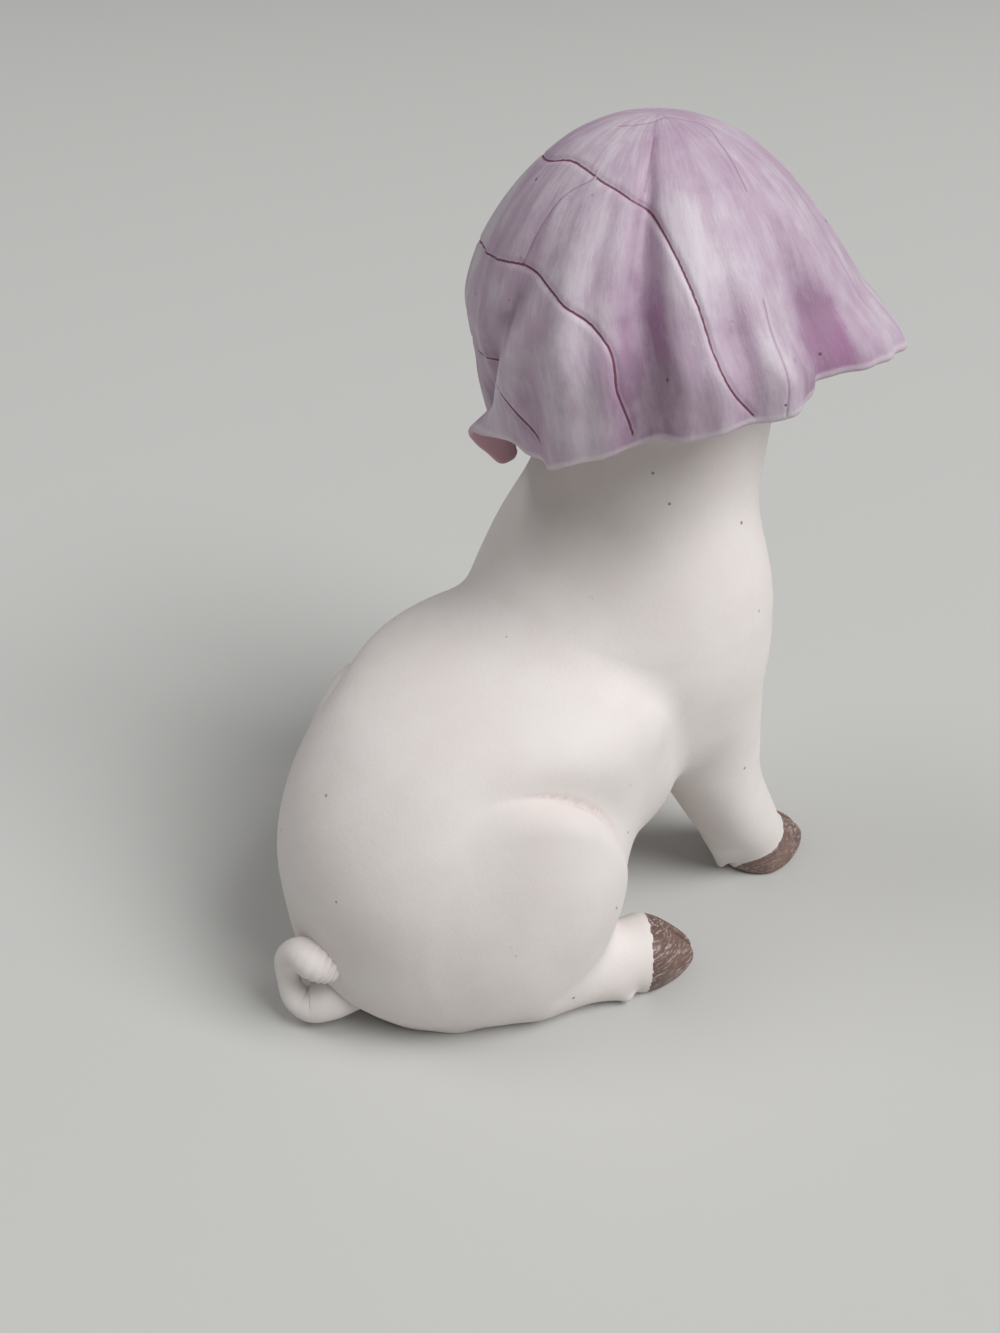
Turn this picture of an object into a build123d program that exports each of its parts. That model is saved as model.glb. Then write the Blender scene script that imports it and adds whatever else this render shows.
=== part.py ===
"""Sitting piglet figurine with a leaf draped over its head as a hat.

A rigid cold-cast ornament: hollow body casting, separately cast legs, hooves, head, ears, tail and hat,
lined up with dowels and glued. Millimetres, +Z up, standing on Z = 0. The pig faces -Y, its left is +X.
"""
import os
from math import cos, exp, pi, radians, sin, sqrt

from build123d import *

# Fits and walls
glue_gap = 0.1
cut_overrun = 60.0
shell_wall = 5.0
hat_wall = 4.0

# Torso: body and neck, from the floor to the neck joint
torso_height = 166.0
torso_depth = 120.0
torso_width = 102.0
# height of torso_height; centre and half depth of torso_depth; half width of torso_width
torso_shares = [
    (0.000, 0.225, 0.325, 0.370),
    (0.085, 0.260, 0.385, 0.450),
    (0.240, 0.242, 0.425, 0.490),
    (0.420, 0.125, 0.500, 0.500),
    (0.580, 0.025, 0.460, 0.470),
    (0.665, -0.175, 0.310, 0.420),
    (0.750, -0.290, 0.270, 0.380),
    (0.855, -0.380, 0.275, 0.345),
    (1.000, -0.433, 0.275, 0.315),
]

# Places on the torso: across of torso_width, along of torso_depth, up of torso_height
haunch_shares = (0.343, 0.167, 0.241)
shoulder_shares = (0.196, -0.367, 0.675)
elbow_shares = (0.255, -0.450, 0.410)
knee_shares = (0.284, -0.508, 0.265)
fetlock_shares = (0.314, -0.575, 0.120)
heel_shares = (0.324, -0.592, 0.018)
fore_toe_shares = (0.324, -0.633, 0.054)
hock_shares = (0.353, 0.200, 0.072)
pastern_shares = (0.431, -0.083, 0.057)
hind_toe_shares = (0.456, -0.133, 0.055)
tail_shares = (0.049, 0.700, 0.093)
foreleg_pin_shares = (0.206, -0.367, 0.590)
head_share = -0.458
crown_share = -0.383

# Haunches: the thighs that bulge from the torso's sides
haunch_thick = 42.0
haunch_length = 58.0
haunch_tall = 72.0

# Forelegs: radii down the leg, from the shoulder to the heel
shoulder_radius = 25.0
elbow_radius = 20.5
knee_radius = 17.0
fetlock_radius = 13.0
heel_radius = 12.0
fore_toe_width = 27.0
fore_toe_length = 30.0
fore_toe_tall = 22.0
fore_hoof_tilt = 40.0
fore_hoof_shift = 0.5

# Hind feet: shanks that lie forward along the floor
hock_radius = 13.0
pastern_radius = 9.5
hind_toe_width = 22.0
hind_toe_length = 25.0
hind_toe_tall = 20.0
hind_hoof_shift = 4.0
cleft_width = 1.6
cleft_depth = 6.0

# Round limb ends, as shares of the end radius: set back along the limb, and radius there
dome_shares = [(0.96, 0.28), (0.80, 0.60), (0.45, 0.893)]

# Head, snout, ears and eyes
head_rise = 16.0
head_width = 76.0
head_depth = 80.0
head_tall = 80.0
seat_share = 0.8
nape_flare = 4.0
snout_length = 12.0
snout_drop = 10.0
snout_root_radius = 23.0
snout_tip_radius = 15.5
snout_flat_share = 0.84
nostril_radius = 2.6
nostril_share = 0.355
nostril_depth = 5.0
ear_sink = 3.0
ear_forward = 1.0
ear_rise = 11.0
ear_thick = 9.0
ear_width = 28.0
ear_tall = 34.0
eye_radius = 4.6
eye_side_share = 0.45
eye_rise_share = 0.175
eye_proud = 0.6
eye_turn = (70.0, 0.0, 25.0)

# Hat: sections from below the rim to the crown, with folds that grow towards the rim
hat_crown_rise = 31.0
hat_drop = 96.0
hat_room = 15.0
hat_lean_side = -6.0
hat_lean_front = -8.0
# height below the crown, of hat_drop; radius, of hat_radius; lean, of the two hat_lean sizes
hat_shares = [
    (1.000, 0.88, 1.0),
    (0.850, 0.94, 1.0),
    (0.720, 0.985, 1.0),
    (0.570, 1.0, 0.8),
    (0.420, 0.90, 0.4),
    (0.260, 0.745, 0.2),
    (0.135, 0.565, 0.1),
    (0.050, 0.36, 0.0),
    (0.000, 0.13, 0.0),
]
# Folds of the leaf: place and spread of the full turn, reach of the radius
fold_shares = [
    (0.030, 0.045, 0.030),
    (0.105, 0.035, -0.040),
    (0.178, 0.022, -0.050),
    (0.235, 0.022, -0.045),
    (0.286, 0.028, 0.030),
    (0.344, 0.030, -0.080),
    (0.430, 0.045, 0.040),
    (0.514, 0.028, -0.080),
    (0.740, 0.040, -0.055),
    (0.830, 0.035, 0.040),
    (0.915, 0.035, -0.050),
]
flare_reach = 7.0
flare_angle = -142.0
flare_spread = 24.0
hat_points = 72
# rim: places from front to back, of the hat's diameter about its centre, and heights below the crown
rim_shares = [
    (-0.64, 0.51),
    (-0.50, 0.53),
    (-0.24, 0.565),
    (0.03, 0.595),
    (0.16, 0.645),
    (0.32, 0.695),
    (0.43, 0.765),
    (0.50, 0.86),
    (0.64, 0.91),
]
hat_boss_radius = 16.0
ceiling_drop = 9.0

# Tail: a curl of one turn that climbs over its own root
tail_turn_radius = 9.5
tail_root_radius = 5.0
tail_tip_radius = 1.5
tail_climb = 9.0
tail_stub = 12.0
tail_start = -35.0
tail_sweep = -300.0
tail_steps = 12
stub_steps = 3
tail_heading = 230.0

# Base plate and plug
plate_thick = 5.0
plate_ledge = 3.0
plug_head_radius = 13.0
plug_head_thick = 2.0
plug_stem_radius = 10.0
plug_stem_length = 8.0

# Dowels
neck_dowel_radius = 6.0
neck_dowel_length = 34.0
hat_pin_radius = 3.0
hat_pin_length = 24.0
limb_pin_radius = 3.0
foreleg_pin_length = 26.0
hind_pin_length = 30.0
tail_pin_radius = 1.8
tail_pin_length = 16.0


def torso_place(shares):
    """Place given by its shares of the torso's width, depth and height."""
    across, along, up = shares
    return (across * torso_width, along * torso_depth, up * torso_height)


# Places worked out from the sizes above
hock_at = torso_place(hock_shares)
pastern_at = torso_place(pastern_shares)
tail_at = torso_place(tail_shares)
head_at = (0, head_share * torso_depth, torso_height + head_rise)
hat_seat = head_at[2] + seat_share * head_tall / 2
hat_top = hat_seat + hat_crown_rise
hat_radius = head_width / 2 + hat_room + hat_wall
hat_crown_at = (0, crown_share * torso_depth)


def torso_rows(inset):
    """Torso sections (height, centre, half depth, half width), drawn in by inset."""
    return [
        (
            height * torso_height,
            centre * torso_depth,
            half_depth * torso_depth - inset,
            half_width * torso_width - inset,
        )
        for height, centre, half_depth, half_width in torso_shares
    ]


def torso_loft(rows):
    """Solid through level elliptical sections, with its seam up the back."""
    with BuildPart() as trunk:
        for height, centre, half_depth, half_width in rows:
            with BuildSketch(Plane((0, centre, height), x_dir=(0, 1, 0), z_dir=(0, 0, 1))):
                Ellipse(half_depth, half_width)
        loft()
    return trunk.part


def egg(at, width, depth, tall, seam):
    """Ellipsoid of three full sizes about a point, with its seam towards one side in X."""
    across, along, up = at
    lower = [(-back, wide) for back, wide in dome_shares]
    upper = [(back, wide) for back, wide in reversed(dome_shares)]
    with BuildPart() as ball:
        for rise, wide in lower + [(0, 1)] + upper:
            level = (across, along, up + rise * tall / 2)
            with BuildSketch(Plane(level, x_dir=(seam, 0, 0), z_dir=(0, 0, 1))):
                Ellipse(wide * width / 2, wide * depth / 2)
        loft()
    return ball.part


def tube_loft(points, radii, side_axis):
    """Tapered round solid through circles that are square to a run of points."""
    with BuildPart() as tube:
        for index, (point, radius) in enumerate(zip(points, radii)):
            ahead = points[min(index + 1, len(points) - 1)]
            behind = points[max(index - 1, 0)]
            with BuildSketch(Plane(point, x_dir=side_axis, z_dir=ahead - behind)):
                Circle(radius)
        loft()
    return tube.part


def limb_loft(places, radii):
    """Limb through its places, with a round end before the first place."""
    points = [Vector(place) for place in places]
    along = (points[1] - points[0]).normalized()
    domes = [points[0] - along * (back * radii[0]) for back, _ in dome_shares]
    dome_radii = [wide * radii[0] for _, wide in dome_shares]
    return tube_loft(domes + points, dome_radii + list(radii), Vector(1, 0, 0))


def sided(place, side):
    """A place or heading given for the left, taken to one side of the pig."""
    across, along, up = place
    return (side * across, along, up)


def pin(at, heading, radius, length, gap):
    """Round dowel, or with a gap the hole for it, from a point along a heading."""
    start = Vector(at) - Vector(heading).normalized() * gap
    return Solid.make_cylinder(radius + gap, length + 2 * gap, Plane(start, z_dir=heading))


def hat_centre(lean):
    """Centre of a hat section that leans by a share of the full lean."""
    return (hat_crown_at[0] + lean * hat_lean_side, hat_crown_at[1] + lean * hat_lean_front)


def turn_bump(angle, middle, spread):
    """Smooth bump of height one about a middle angle, all in radians."""
    off = (angle - middle + pi) % (2 * pi) - pi
    return exp(-((off / spread) ** 2))


def hat_outline(drop, radius, lean, inset):
    """Closed outline of the hat at one height, with its folds and the flare at the front right."""
    growth = min(drop / rim_shares[0][1], 1.0)
    centre_x, centre_y = hat_centre(lean)
    outline = []
    for step in range(hat_points):
        angle = 2 * pi * step / hat_points
        flare = flare_reach * turn_bump(angle, radians(flare_angle), radians(flare_spread))
        folds = sum(
            depth * turn_bump(angle, 2 * pi * place, 2 * pi * spread)
            for place, spread, depth in fold_shares
        )
        reach = radius * hat_radius * (1 + growth * folds) + growth**2 * flare - inset
        outline.append((centre_x + reach * cos(angle), centre_y + reach * sin(angle)))
    return outline


def hat_loft(inset, lowered):
    """Solid inside the hat's outline, drawn in by inset, with its top lowered."""
    with BuildPart() as bell:
        for drop, radius, lean in hat_shares:
            if radius * hat_radius > inset:
                height = hat_top - lowered - drop * (hat_drop - lowered)
                with BuildSketch(Plane.XY.offset(height)):
                    with BuildLine():
                        Spline(hat_outline(drop, radius, lean, inset), periodic=True)
                    make_face()
        loft()
    return bell.part


# Whole outer forms that the castings are cut from
torso_form = torso_loft(torso_rows(0))
haunch_forms = [
    egg(sided(torso_place(haunch_shares), side), haunch_thick, haunch_length, haunch_tall, -side)
    for side in (1, -1)
]
torso_outer = torso_form.fuse(*haunch_forms)

# Places of the dowels, shared by the castings that they join
neck_at = (0, torso_shares[-1][1] * torso_depth, torso_height - neck_dowel_length / 2)
hat_pin_at = (hat_crown_at[0], hat_crown_at[1], hat_seat - hat_pin_length / 2)
foreleg_pin_at = Vector(torso_place(foreleg_pin_shares)) + Vector(0, foreleg_pin_length / 2, 0)
hind_axis = (Vector(pastern_at) - Vector(hock_at)).normalized()
tail_right = Vector(cos(radians(tail_heading)), sin(radians(tail_heading)), 0)
tail_toward = tail_right.rotate(Axis.Z, -90)


def tail_place(turn):
    """Point on the tail's curl, where turn runs from 0 at the root to 1 at the tip."""
    angle = radians(tail_start + turn * tail_sweep)
    sideways = tail_right * (tail_turn_radius * cos(angle))
    upright = Vector(0, 0, tail_turn_radius * sin(angle))
    return Vector(tail_at) + sideways + upright + tail_toward * (tail_climb * turn * turn)


tail_root = tail_place(0)
tail_pin_at = tail_root - Vector(0, tail_pin_length, 0)

pins = {
    "neck": (neck_at, (0, 0, 1), neck_dowel_radius, neck_dowel_length),
    "hat": (hat_pin_at, (0, 0, 1), hat_pin_radius, hat_pin_length),
    "tail": (tail_pin_at, (0, 1, 0), tail_pin_radius, tail_pin_length),
}
for side_name, side in (("left", 1), ("right", -1)):
    foreleg_pin = (sided(foreleg_pin_at, side), (0, -1, 0), limb_pin_radius, foreleg_pin_length)
    hind_start = sided(hock_at, side)
    hind_heading = sided(hind_axis, side)
    pins[side_name + " foreleg"] = foreleg_pin
    pins[side_name + " hind"] = (hind_start, hind_heading, limb_pin_radius, hind_pin_length)


# Torso shell: hollow, with a recess for the base plate
cavity_rows = torso_rows(shell_wall)[1:-1]
mouth_centre, mouth_depth, mouth_width = torso_rows(shell_wall)[0][1:]
ledge_row = (plate_thick, mouth_centre, mouth_depth - plate_ledge, mouth_width - plate_ledge)
cavity = torso_loft([ledge_row] + cavity_rows)
with BuildPart() as torso_shell:
    add(torso_outer)
    add(cavity, mode=Mode.SUBTRACT)
    with BuildSketch(Plane((0, mouth_centre, 0))):
        Ellipse(mouth_width, mouth_depth)
    extrude(amount=plate_thick, mode=Mode.SUBTRACT)
    for hole in pins.values():
        add(pin(*hole, glue_gap), mode=Mode.SUBTRACT)

# Base plate with its pour hole, and the plug
with BuildPart() as base_plate:
    with BuildSketch(Plane((0, mouth_centre, 0))):
        Ellipse(mouth_width - glue_gap, mouth_depth - glue_gap)
    extrude(amount=plate_thick)
    with Locations(Location((0, mouth_centre, 0), (180, 0, 0))):
        CounterBoreHole(plug_stem_radius, plug_head_radius, plug_head_thick, plate_thick)

with BuildPart() as base_plug:
    with BuildSketch(Plane((0, mouth_centre, 0))):
        Circle(plug_head_radius - glue_gap)
    extrude(amount=plug_head_thick)
    with BuildSketch(Plane((0, mouth_centre, 0))):
        Circle(plug_stem_radius - glue_gap)
    extrude(amount=plug_stem_length)

castings = {"torso_shell": torso_shell, "base_plate": base_plate, "base_plug": base_plug}


# Limbs: each is made whole, stood on the floor, then parted into leg and hoof
def limb(places, radii, toe, side):
    """Whole limb with its toe, cut level with the floor, kept to its side and fitted to the torso."""
    with BuildPart() as whole:
        add(limb_loft(places, radii))
        add(toe)
        split(bisect_by=Plane.XY, keep=Keep.TOP)
        split(bisect_by=Plane((0, 0, 0), z_dir=(side, 0, 0)).offset(glue_gap), keep=Keep.TOP)
        add(torso_form, mode=Mode.SUBTRACT)
        add(haunch_forms, mode=Mode.SUBTRACT)
    return whole.part


def cleft(toe_at, toe_length, heading):
    """Blade that parts the front of a hoof into two toes."""
    ahead = Vector(heading).normalized()
    middle = Vector(toe_at) + ahead * (toe_length / 2)
    blade = Solid.make_box(2 * cleft_depth, cleft_width, 2 * cut_overrun)
    centred = blade.moved(Location((-cleft_depth, -cleft_width / 2, -cut_overrun)))
    return centred.moved(Plane(middle, x_dir=ahead, z_dir=(0, 0, 1)).location)


for side_name, side in (("left", 1), ("right", -1)):
    fore_shares = (shoulder_shares, elbow_shares, knee_shares, fetlock_shares, heel_shares)
    fore_places = [sided(torso_place(shares), side) for shares in fore_shares]
    fore_radii = (shoulder_radius, elbow_radius, knee_radius, fetlock_radius, heel_radius)
    toe_at = sided(torso_place(fore_toe_shares), side)
    toe = egg(toe_at, fore_toe_width, fore_toe_length, fore_toe_tall, side)
    fore_limb = limb(fore_places, fore_radii, toe, side)
    fore_normal = (0, -cos(radians(fore_hoof_tilt)), -sin(radians(fore_hoof_tilt)))
    fore_joint = Plane(toe_at, z_dir=fore_normal).offset(-fore_hoof_shift)
    with BuildPart() as foreleg:
        add(fore_limb)
        split(bisect_by=fore_joint, keep=Keep.BOTTOM)
        add(pin(*pins[side_name + " foreleg"], glue_gap), mode=Mode.SUBTRACT)
    with BuildPart() as fore_hoof:
        add(fore_limb)
        split(bisect_by=fore_joint, keep=Keep.TOP)
        add(cleft(toe_at, fore_toe_length, (0, -1, 0)), mode=Mode.SUBTRACT)

    hind_toe_at = torso_place(hind_toe_shares)
    hind_places = [sided(at, side) for at in (hock_at, pastern_at, hind_toe_at)]
    hind_radii = (hock_radius, pastern_radius, pastern_radius)
    toe_at = sided(hind_toe_at, side)
    toe = egg(toe_at, hind_toe_width, hind_toe_length, hind_toe_tall, side)
    hind_limb = limb(hind_places, hind_radii, toe, side)
    hind_heading = Vector(sided(hind_axis, side))
    hind_joint = Plane(toe_at, z_dir=hind_heading).offset(-hind_hoof_shift)
    with BuildPart() as hind_foot:
        add(hind_limb)
        split(bisect_by=hind_joint, keep=Keep.BOTTOM)
        add(pin(*pins[side_name + " hind"], glue_gap), mode=Mode.SUBTRACT)
    with BuildPart() as hind_hoof:
        add(hind_limb)
        split(bisect_by=hind_joint, keep=Keep.TOP)
        add(cleft(toe_at, hind_toe_length, hind_heading), mode=Mode.SUBTRACT)

    castings[side_name + "_foreleg"] = foreleg
    castings[side_name + "_fore_hoof"] = fore_hoof
    castings[side_name + "_hind_foot"] = hind_foot
    castings[side_name + "_hind_hoof"] = hind_hoof

# Head with its neck stub and snout, flat on top where the hat sits
skull = egg(head_at, head_width, head_depth, head_tall, 1)
neck_centre, neck_half_depth, neck_half_width = torso_rows(0)[-1][1:]
snout_root = Vector(head_at) - Vector(0, head_depth / 4, snout_drop / 2)
snout_tip = Vector(head_at) - Vector(0, head_depth / 2 + snout_length, snout_drop)
with BuildPart() as head:
    add(skull)
    with BuildSketch(Plane((0, neck_centre, torso_height))):
        Ellipse(neck_half_width, neck_half_depth)
    with BuildSketch(Plane((0, head_at[1], head_at[2]))):
        Ellipse(neck_half_width + nape_flare, neck_half_depth + nape_flare)
    loft()
    with BuildSketch(Plane(snout_root, x_dir=(1, 0, 0), z_dir=(0, -1, 0))):
        Ellipse(snout_root_radius, snout_root_radius * snout_flat_share)
    with BuildSketch(Plane(snout_tip, x_dir=(1, 0, 0), z_dir=(0, -1, 0))):
        Ellipse(snout_tip_radius, snout_tip_radius * snout_flat_share)
    loft()
    split(bisect_by=Plane.XY.offset(torso_height), keep=Keep.TOP)
    split(bisect_by=Plane.XY.offset(hat_seat), keep=Keep.BOTTOM)
    for side in (1, -1):
        nostril_at = snout_tip + Vector(side * nostril_share * snout_tip_radius, nostril_depth, 0)
        add(pin(nostril_at, (0, -1, 0), nostril_radius, nostril_depth, glue_gap), mode=Mode.SUBTRACT)
    add(pin(*pins["neck"], glue_gap), mode=Mode.SUBTRACT)
    add(pin(*pins["hat"], glue_gap), mode=Mode.SUBTRACT)

# Eyes sit in round sockets in the face
eye_face_share = sqrt(1 - eye_side_share**2 - eye_rise_share**2)
eye_at = (
    eye_side_share * head_width / 2,
    head_at[1] - eye_face_share * head_depth / 2 - eye_proud + eye_radius / 2,
    head_at[2] + eye_rise_share * head_tall / 2,
)
with head:
    for side in (1, -1):
        with Locations(Location(sided(eye_at, side), eye_turn)):
            Sphere(eye_radius + glue_gap, mode=Mode.SUBTRACT)
castings["head"] = head

for side_name, side in (("left", 1), ("right", -1)):
    with BuildPart() as eye:
        with Locations(Location(sided(eye_at, side), eye_turn)):
            Sphere(eye_radius)
    ear_at = (head_width / 2 - ear_sink, head_at[1] - ear_forward, head_at[2] + ear_rise)
    with BuildPart() as ear:
        add(egg(sided(ear_at, side), ear_thick, ear_width, ear_tall, side))
        add(skull, mode=Mode.SUBTRACT)
    castings[side_name + "_eye"] = eye
    castings[side_name + "_ear"] = ear

# Hat: a folded bell, hollow over the head, with a boss that sits on it and a rim that rises to the front
rim_centre = hat_centre(1.0)[1]
rim_points = [
    (rim_centre + 2 * hat_radius * place, hat_top - drop * hat_drop) for place, drop in rim_shares
]
rim_floor = hat_top - hat_drop - cut_overrun
with BuildPart() as hat:
    add(hat_loft(0, 0))
    add(hat_loft(hat_wall, ceiling_drop), mode=Mode.SUBTRACT)
    with BuildSketch(Plane((hat_crown_at[0], hat_crown_at[1], hat_seat))):
        Circle(hat_boss_radius)
    extrude(amount=hat_top - ceiling_drop - hat_seat)
    with BuildSketch(Plane.YZ):
        with BuildLine():
            rim_line = Spline(rim_points)
            Polyline(
                rim_line @ 1,
                (rim_points[-1][0], rim_floor),
                (rim_points[0][0], rim_floor),
                rim_line @ 0,
            )
        make_face()
    extrude(amount=2 * hat_radius, both=True, mode=Mode.SUBTRACT)
    add(pin(*pins["hat"], glue_gap), mode=Mode.SUBTRACT)
castings["hat"] = hat

# Tail: tapered curl, with a stub that goes into the rump
curl = [tail_place(step / tail_steps) for step in range(tail_steps + 1)]
curl_radii = [
    tail_root_radius + (tail_tip_radius - tail_root_radius) * (step / tail_steps) ** 2
    for step in range(tail_steps + 1)
]
stub = [curl[0] - Vector(0, tail_stub * (1 - step / stub_steps), 0) for step in range(stub_steps)]
with BuildPart() as tail:
    add(tube_loft(stub + curl, [tail_root_radius] * stub_steps + curl_radii, tail_toward))
    split(bisect_by=Plane.XY, keep=Keep.TOP)
    add(torso_form, mode=Mode.SUBTRACT)
    add(pin(*pins["tail"], glue_gap), mode=Mode.SUBTRACT)
castings["tail"] = tail

# Dowels
with BuildPart() as neck_dowel:
    add(pin(*pins["neck"], 0))
with BuildPart() as hat_pin:
    add(pin(*pins["hat"], 0))
with BuildPart() as tail_pin:
    add(pin(*pins["tail"], 0))
with BuildPart() as foreleg_pins:
    add(pin(*pins["left foreleg"], 0))
    add(pin(*pins["right foreleg"], 0))
with BuildPart() as hind_foot_pins:
    add(pin(*pins["left hind"], 0))
    add(pin(*pins["right hind"], 0))
castings["neck_dowel"] = neck_dowel
castings["hat_pin"] = hat_pin
castings["tail_pin"] = tail_pin
castings["foreleg_pins"] = foreleg_pins
castings["hind_foot_pins"] = hind_foot_pins

os.makedirs("parts", exist_ok=True)
for name, casting in castings.items():
    casting.part.label = name
    export_step(casting.part, f"parts/{name}.step")
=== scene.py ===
"""Looks of a sitting piglet ornament with a leaf hat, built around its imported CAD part.

Sizes are in millimetres and become metres when a mesh is made. The body is modelled as one smooth
distance field, so that the castings meet without a seam, and is then cut into its pieces.
"""

import logging
import math
from collections.abc import Callable, Sequence
from dataclasses import dataclass, field
from enum import Enum

import bpy
import numpy as np
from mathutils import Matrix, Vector

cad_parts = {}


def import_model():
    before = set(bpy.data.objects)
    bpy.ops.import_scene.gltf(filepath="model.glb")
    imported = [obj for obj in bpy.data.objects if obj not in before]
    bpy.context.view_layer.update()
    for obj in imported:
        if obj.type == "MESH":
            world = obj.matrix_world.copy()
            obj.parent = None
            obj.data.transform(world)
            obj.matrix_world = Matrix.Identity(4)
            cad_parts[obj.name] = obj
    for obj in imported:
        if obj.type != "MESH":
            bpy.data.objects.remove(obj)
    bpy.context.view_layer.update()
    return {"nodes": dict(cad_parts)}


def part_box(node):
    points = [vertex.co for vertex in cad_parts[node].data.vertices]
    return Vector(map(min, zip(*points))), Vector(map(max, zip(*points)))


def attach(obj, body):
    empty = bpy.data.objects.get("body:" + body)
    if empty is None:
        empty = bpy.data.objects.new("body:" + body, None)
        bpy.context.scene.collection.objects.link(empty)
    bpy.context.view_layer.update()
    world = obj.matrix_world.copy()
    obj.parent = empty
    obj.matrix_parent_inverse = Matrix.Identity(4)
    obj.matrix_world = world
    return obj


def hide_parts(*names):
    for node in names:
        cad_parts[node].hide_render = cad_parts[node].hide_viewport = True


LOG = logging.getLogger("piglet")
MM = 0.001
FULL_TURN = 2 * math.pi
TINY = 1e-9
SLIGHT = 1e-6
LIMB_STEPS = 60
CELL_CORNERS = 8
ROOT_BODY = "root"
# Numbers of the Mix node's colour sockets, whose names repeat
MIX_AMOUNT, MIX_FIRST, MIX_SECOND, MIX_RESULT = 0, 6, 7, 2

Point = tuple[float, float, float]
Pair = tuple[float, float]
Colour = tuple[float, float, float]
Field = Callable[[np.ndarray], np.ndarray]
RowShares = tuple[tuple[float, float, float, float], ...]
PairShares = tuple[Pair, ...]
Socket = bpy.types.NodeSocket
Feeds = dict[str | int, object]


class Slot(Enum):
    """Material slots of the record."""

    BODY = "body_paint"
    HAT = "hat_paint"
    HOOF = "hoof_paint"
    EYE = "eye_gloss"
    RAW = "raw_casting"
    RUBBER = "plug_rubber"
    WOOD = "dowel_wood"


class Side(Enum):
    """The two sides of the animal and the sign of X on each."""

    LEFT = 1
    RIGHT = -1

    @property
    def label(self) -> str:
        """Word that starts the piece names of this side."""
        return self.name.lower()


def smooth_table(at: np.ndarray, knots: Sequence[float], values: Sequence[float]) -> np.ndarray:
    """Reads a given table along a curve that never overshoots its points.

    Args:
        at: Places to read, clipped to the table.
        knots: Rising places of the table.
        values: Value at each place.

    Returns:
        One value for each place read.
    """
    knot = np.asarray(knots, float)
    value = np.asarray(values, float)
    step = np.diff(knot)
    rise = np.diff(value) / step
    slope = np.concatenate([rise[:1], np.zeros(len(rise) - 1), rise[-1:]])
    same = rise[:-1] * rise[1:] > 0
    slope[1:-1][same] = 2 / (1 / rise[:-1][same] + 1 / rise[1:][same])
    place = np.clip(at, knot[0], knot[-1])
    cell = np.clip(np.searchsorted(knot, place, side="right") - 1, 0, len(step) - 1)
    width = step[cell]
    part = (place - knot[cell]) / width
    rest = 1 - part
    start = rest * rest * ((1 + 2 * part) * value[cell] + part * width * slope[cell])
    end = part * part * ((3 - 2 * part) * value[cell + 1] - rest * width * slope[cell + 1])
    return start + end


def smooth_step(value: np.ndarray, low: float, high: float) -> np.ndarray:
    """Soft switch from 0 at low to 1 at high."""
    part = np.clip((value - low) / (high - low), 0, 1)
    return part * part * (3 - 2 * part)


def smooth_union(first: np.ndarray, second: np.ndarray, blend: float | np.ndarray) -> np.ndarray:
    """Joins two distance fields with a fillet of about the blend length."""
    part = np.clip(0.5 + 0.5 * (second - first) / blend, 0, 1)
    return second * (1 - part) + first * part - blend * part * (1 - part)


def smooth_limit(first: np.ndarray, second: np.ndarray, blend: float) -> np.ndarray:
    """What two distance fields have in common, with the edge rounded by the blend length."""
    return -smooth_union(-first, -second, blend)


def smooth_cut(whole: np.ndarray, tool: np.ndarray, blend: float) -> np.ndarray:
    """Cuts the tool's field out of the whole, with its edges softened by the blend length."""
    return -smooth_union(-whole, tool, blend)


def blend_up(points: np.ndarray, blends: Pair, rise: Pair) -> np.ndarray:
    """Blend length at each point, which changes from the first to the second over a rise in height."""
    low, high = blends
    return low + (high - low) * smooth_step(points[..., 2], *rise)


def ellipsoid(points: np.ndarray, centre: Point, radii: Point) -> np.ndarray:
    """Finds the distance to an ellipsoid, close to true near its surface.

    Args:
        points: Places to measure from.
        centre: Middle of the ellipsoid.
        radii: Its half sizes.

    Returns:
        The distance of each point, below zero inside.
    """
    size = np.asarray(radii, float)
    offset = points - np.asarray(centre, float)
    near = np.linalg.norm(offset / size, axis=-1)
    steep = np.linalg.norm(offset / (size * size), axis=-1)
    return near * (near - 1) / np.maximum(steep, TINY)


def round_cone(points: np.ndarray, start: Point, end: Point, start_r: float, end_r: float) -> np.ndarray:
    """Finds the distance to a cone with round ends.

    Args:
        points: Places to measure from.
        start: Middle of the first end.
        end: Middle of the second end.
        start_r: Radius at the first end.
        end_r: Radius at the second end.

    Returns:
        The distance of each point, below zero inside.
    """
    first = np.asarray(start, float)
    axis = np.asarray(end, float) - first
    part = np.clip(((points - first) @ axis) / (axis @ axis), 0, 1)
    nearest = first + part[..., None] * axis
    return np.linalg.norm(points - nearest, axis=-1) - (start_r + (end_r - start_r) * part)


def upright_limb(points: np.ndarray, places: Sequence[Point], radii: Sequence[float]) -> np.ndarray:
    """Finds the distance to a standing limb that is round at its top.

    Args:
        points: Places to measure from.
        places: Middles of the limb, from the top down.
        radii: Radius at each middle.

    Returns:
        The distance of each point, below zero inside.
    """
    route = smooth_path([(*place, radius) for place, radius in zip(places, radii)], LIMB_STEPS)[::-1]
    up = points[..., 2]
    across, along, radius = (np.interp(up, route[:, 2], route[:, column]) for column in (0, 1, 3))
    over = np.maximum(up - route[-1, 2], 0)
    offset = np.stack([points[..., 0] - across, points[..., 1] - along, over], axis=-1)
    return np.linalg.norm(offset, axis=-1) - radius


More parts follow.
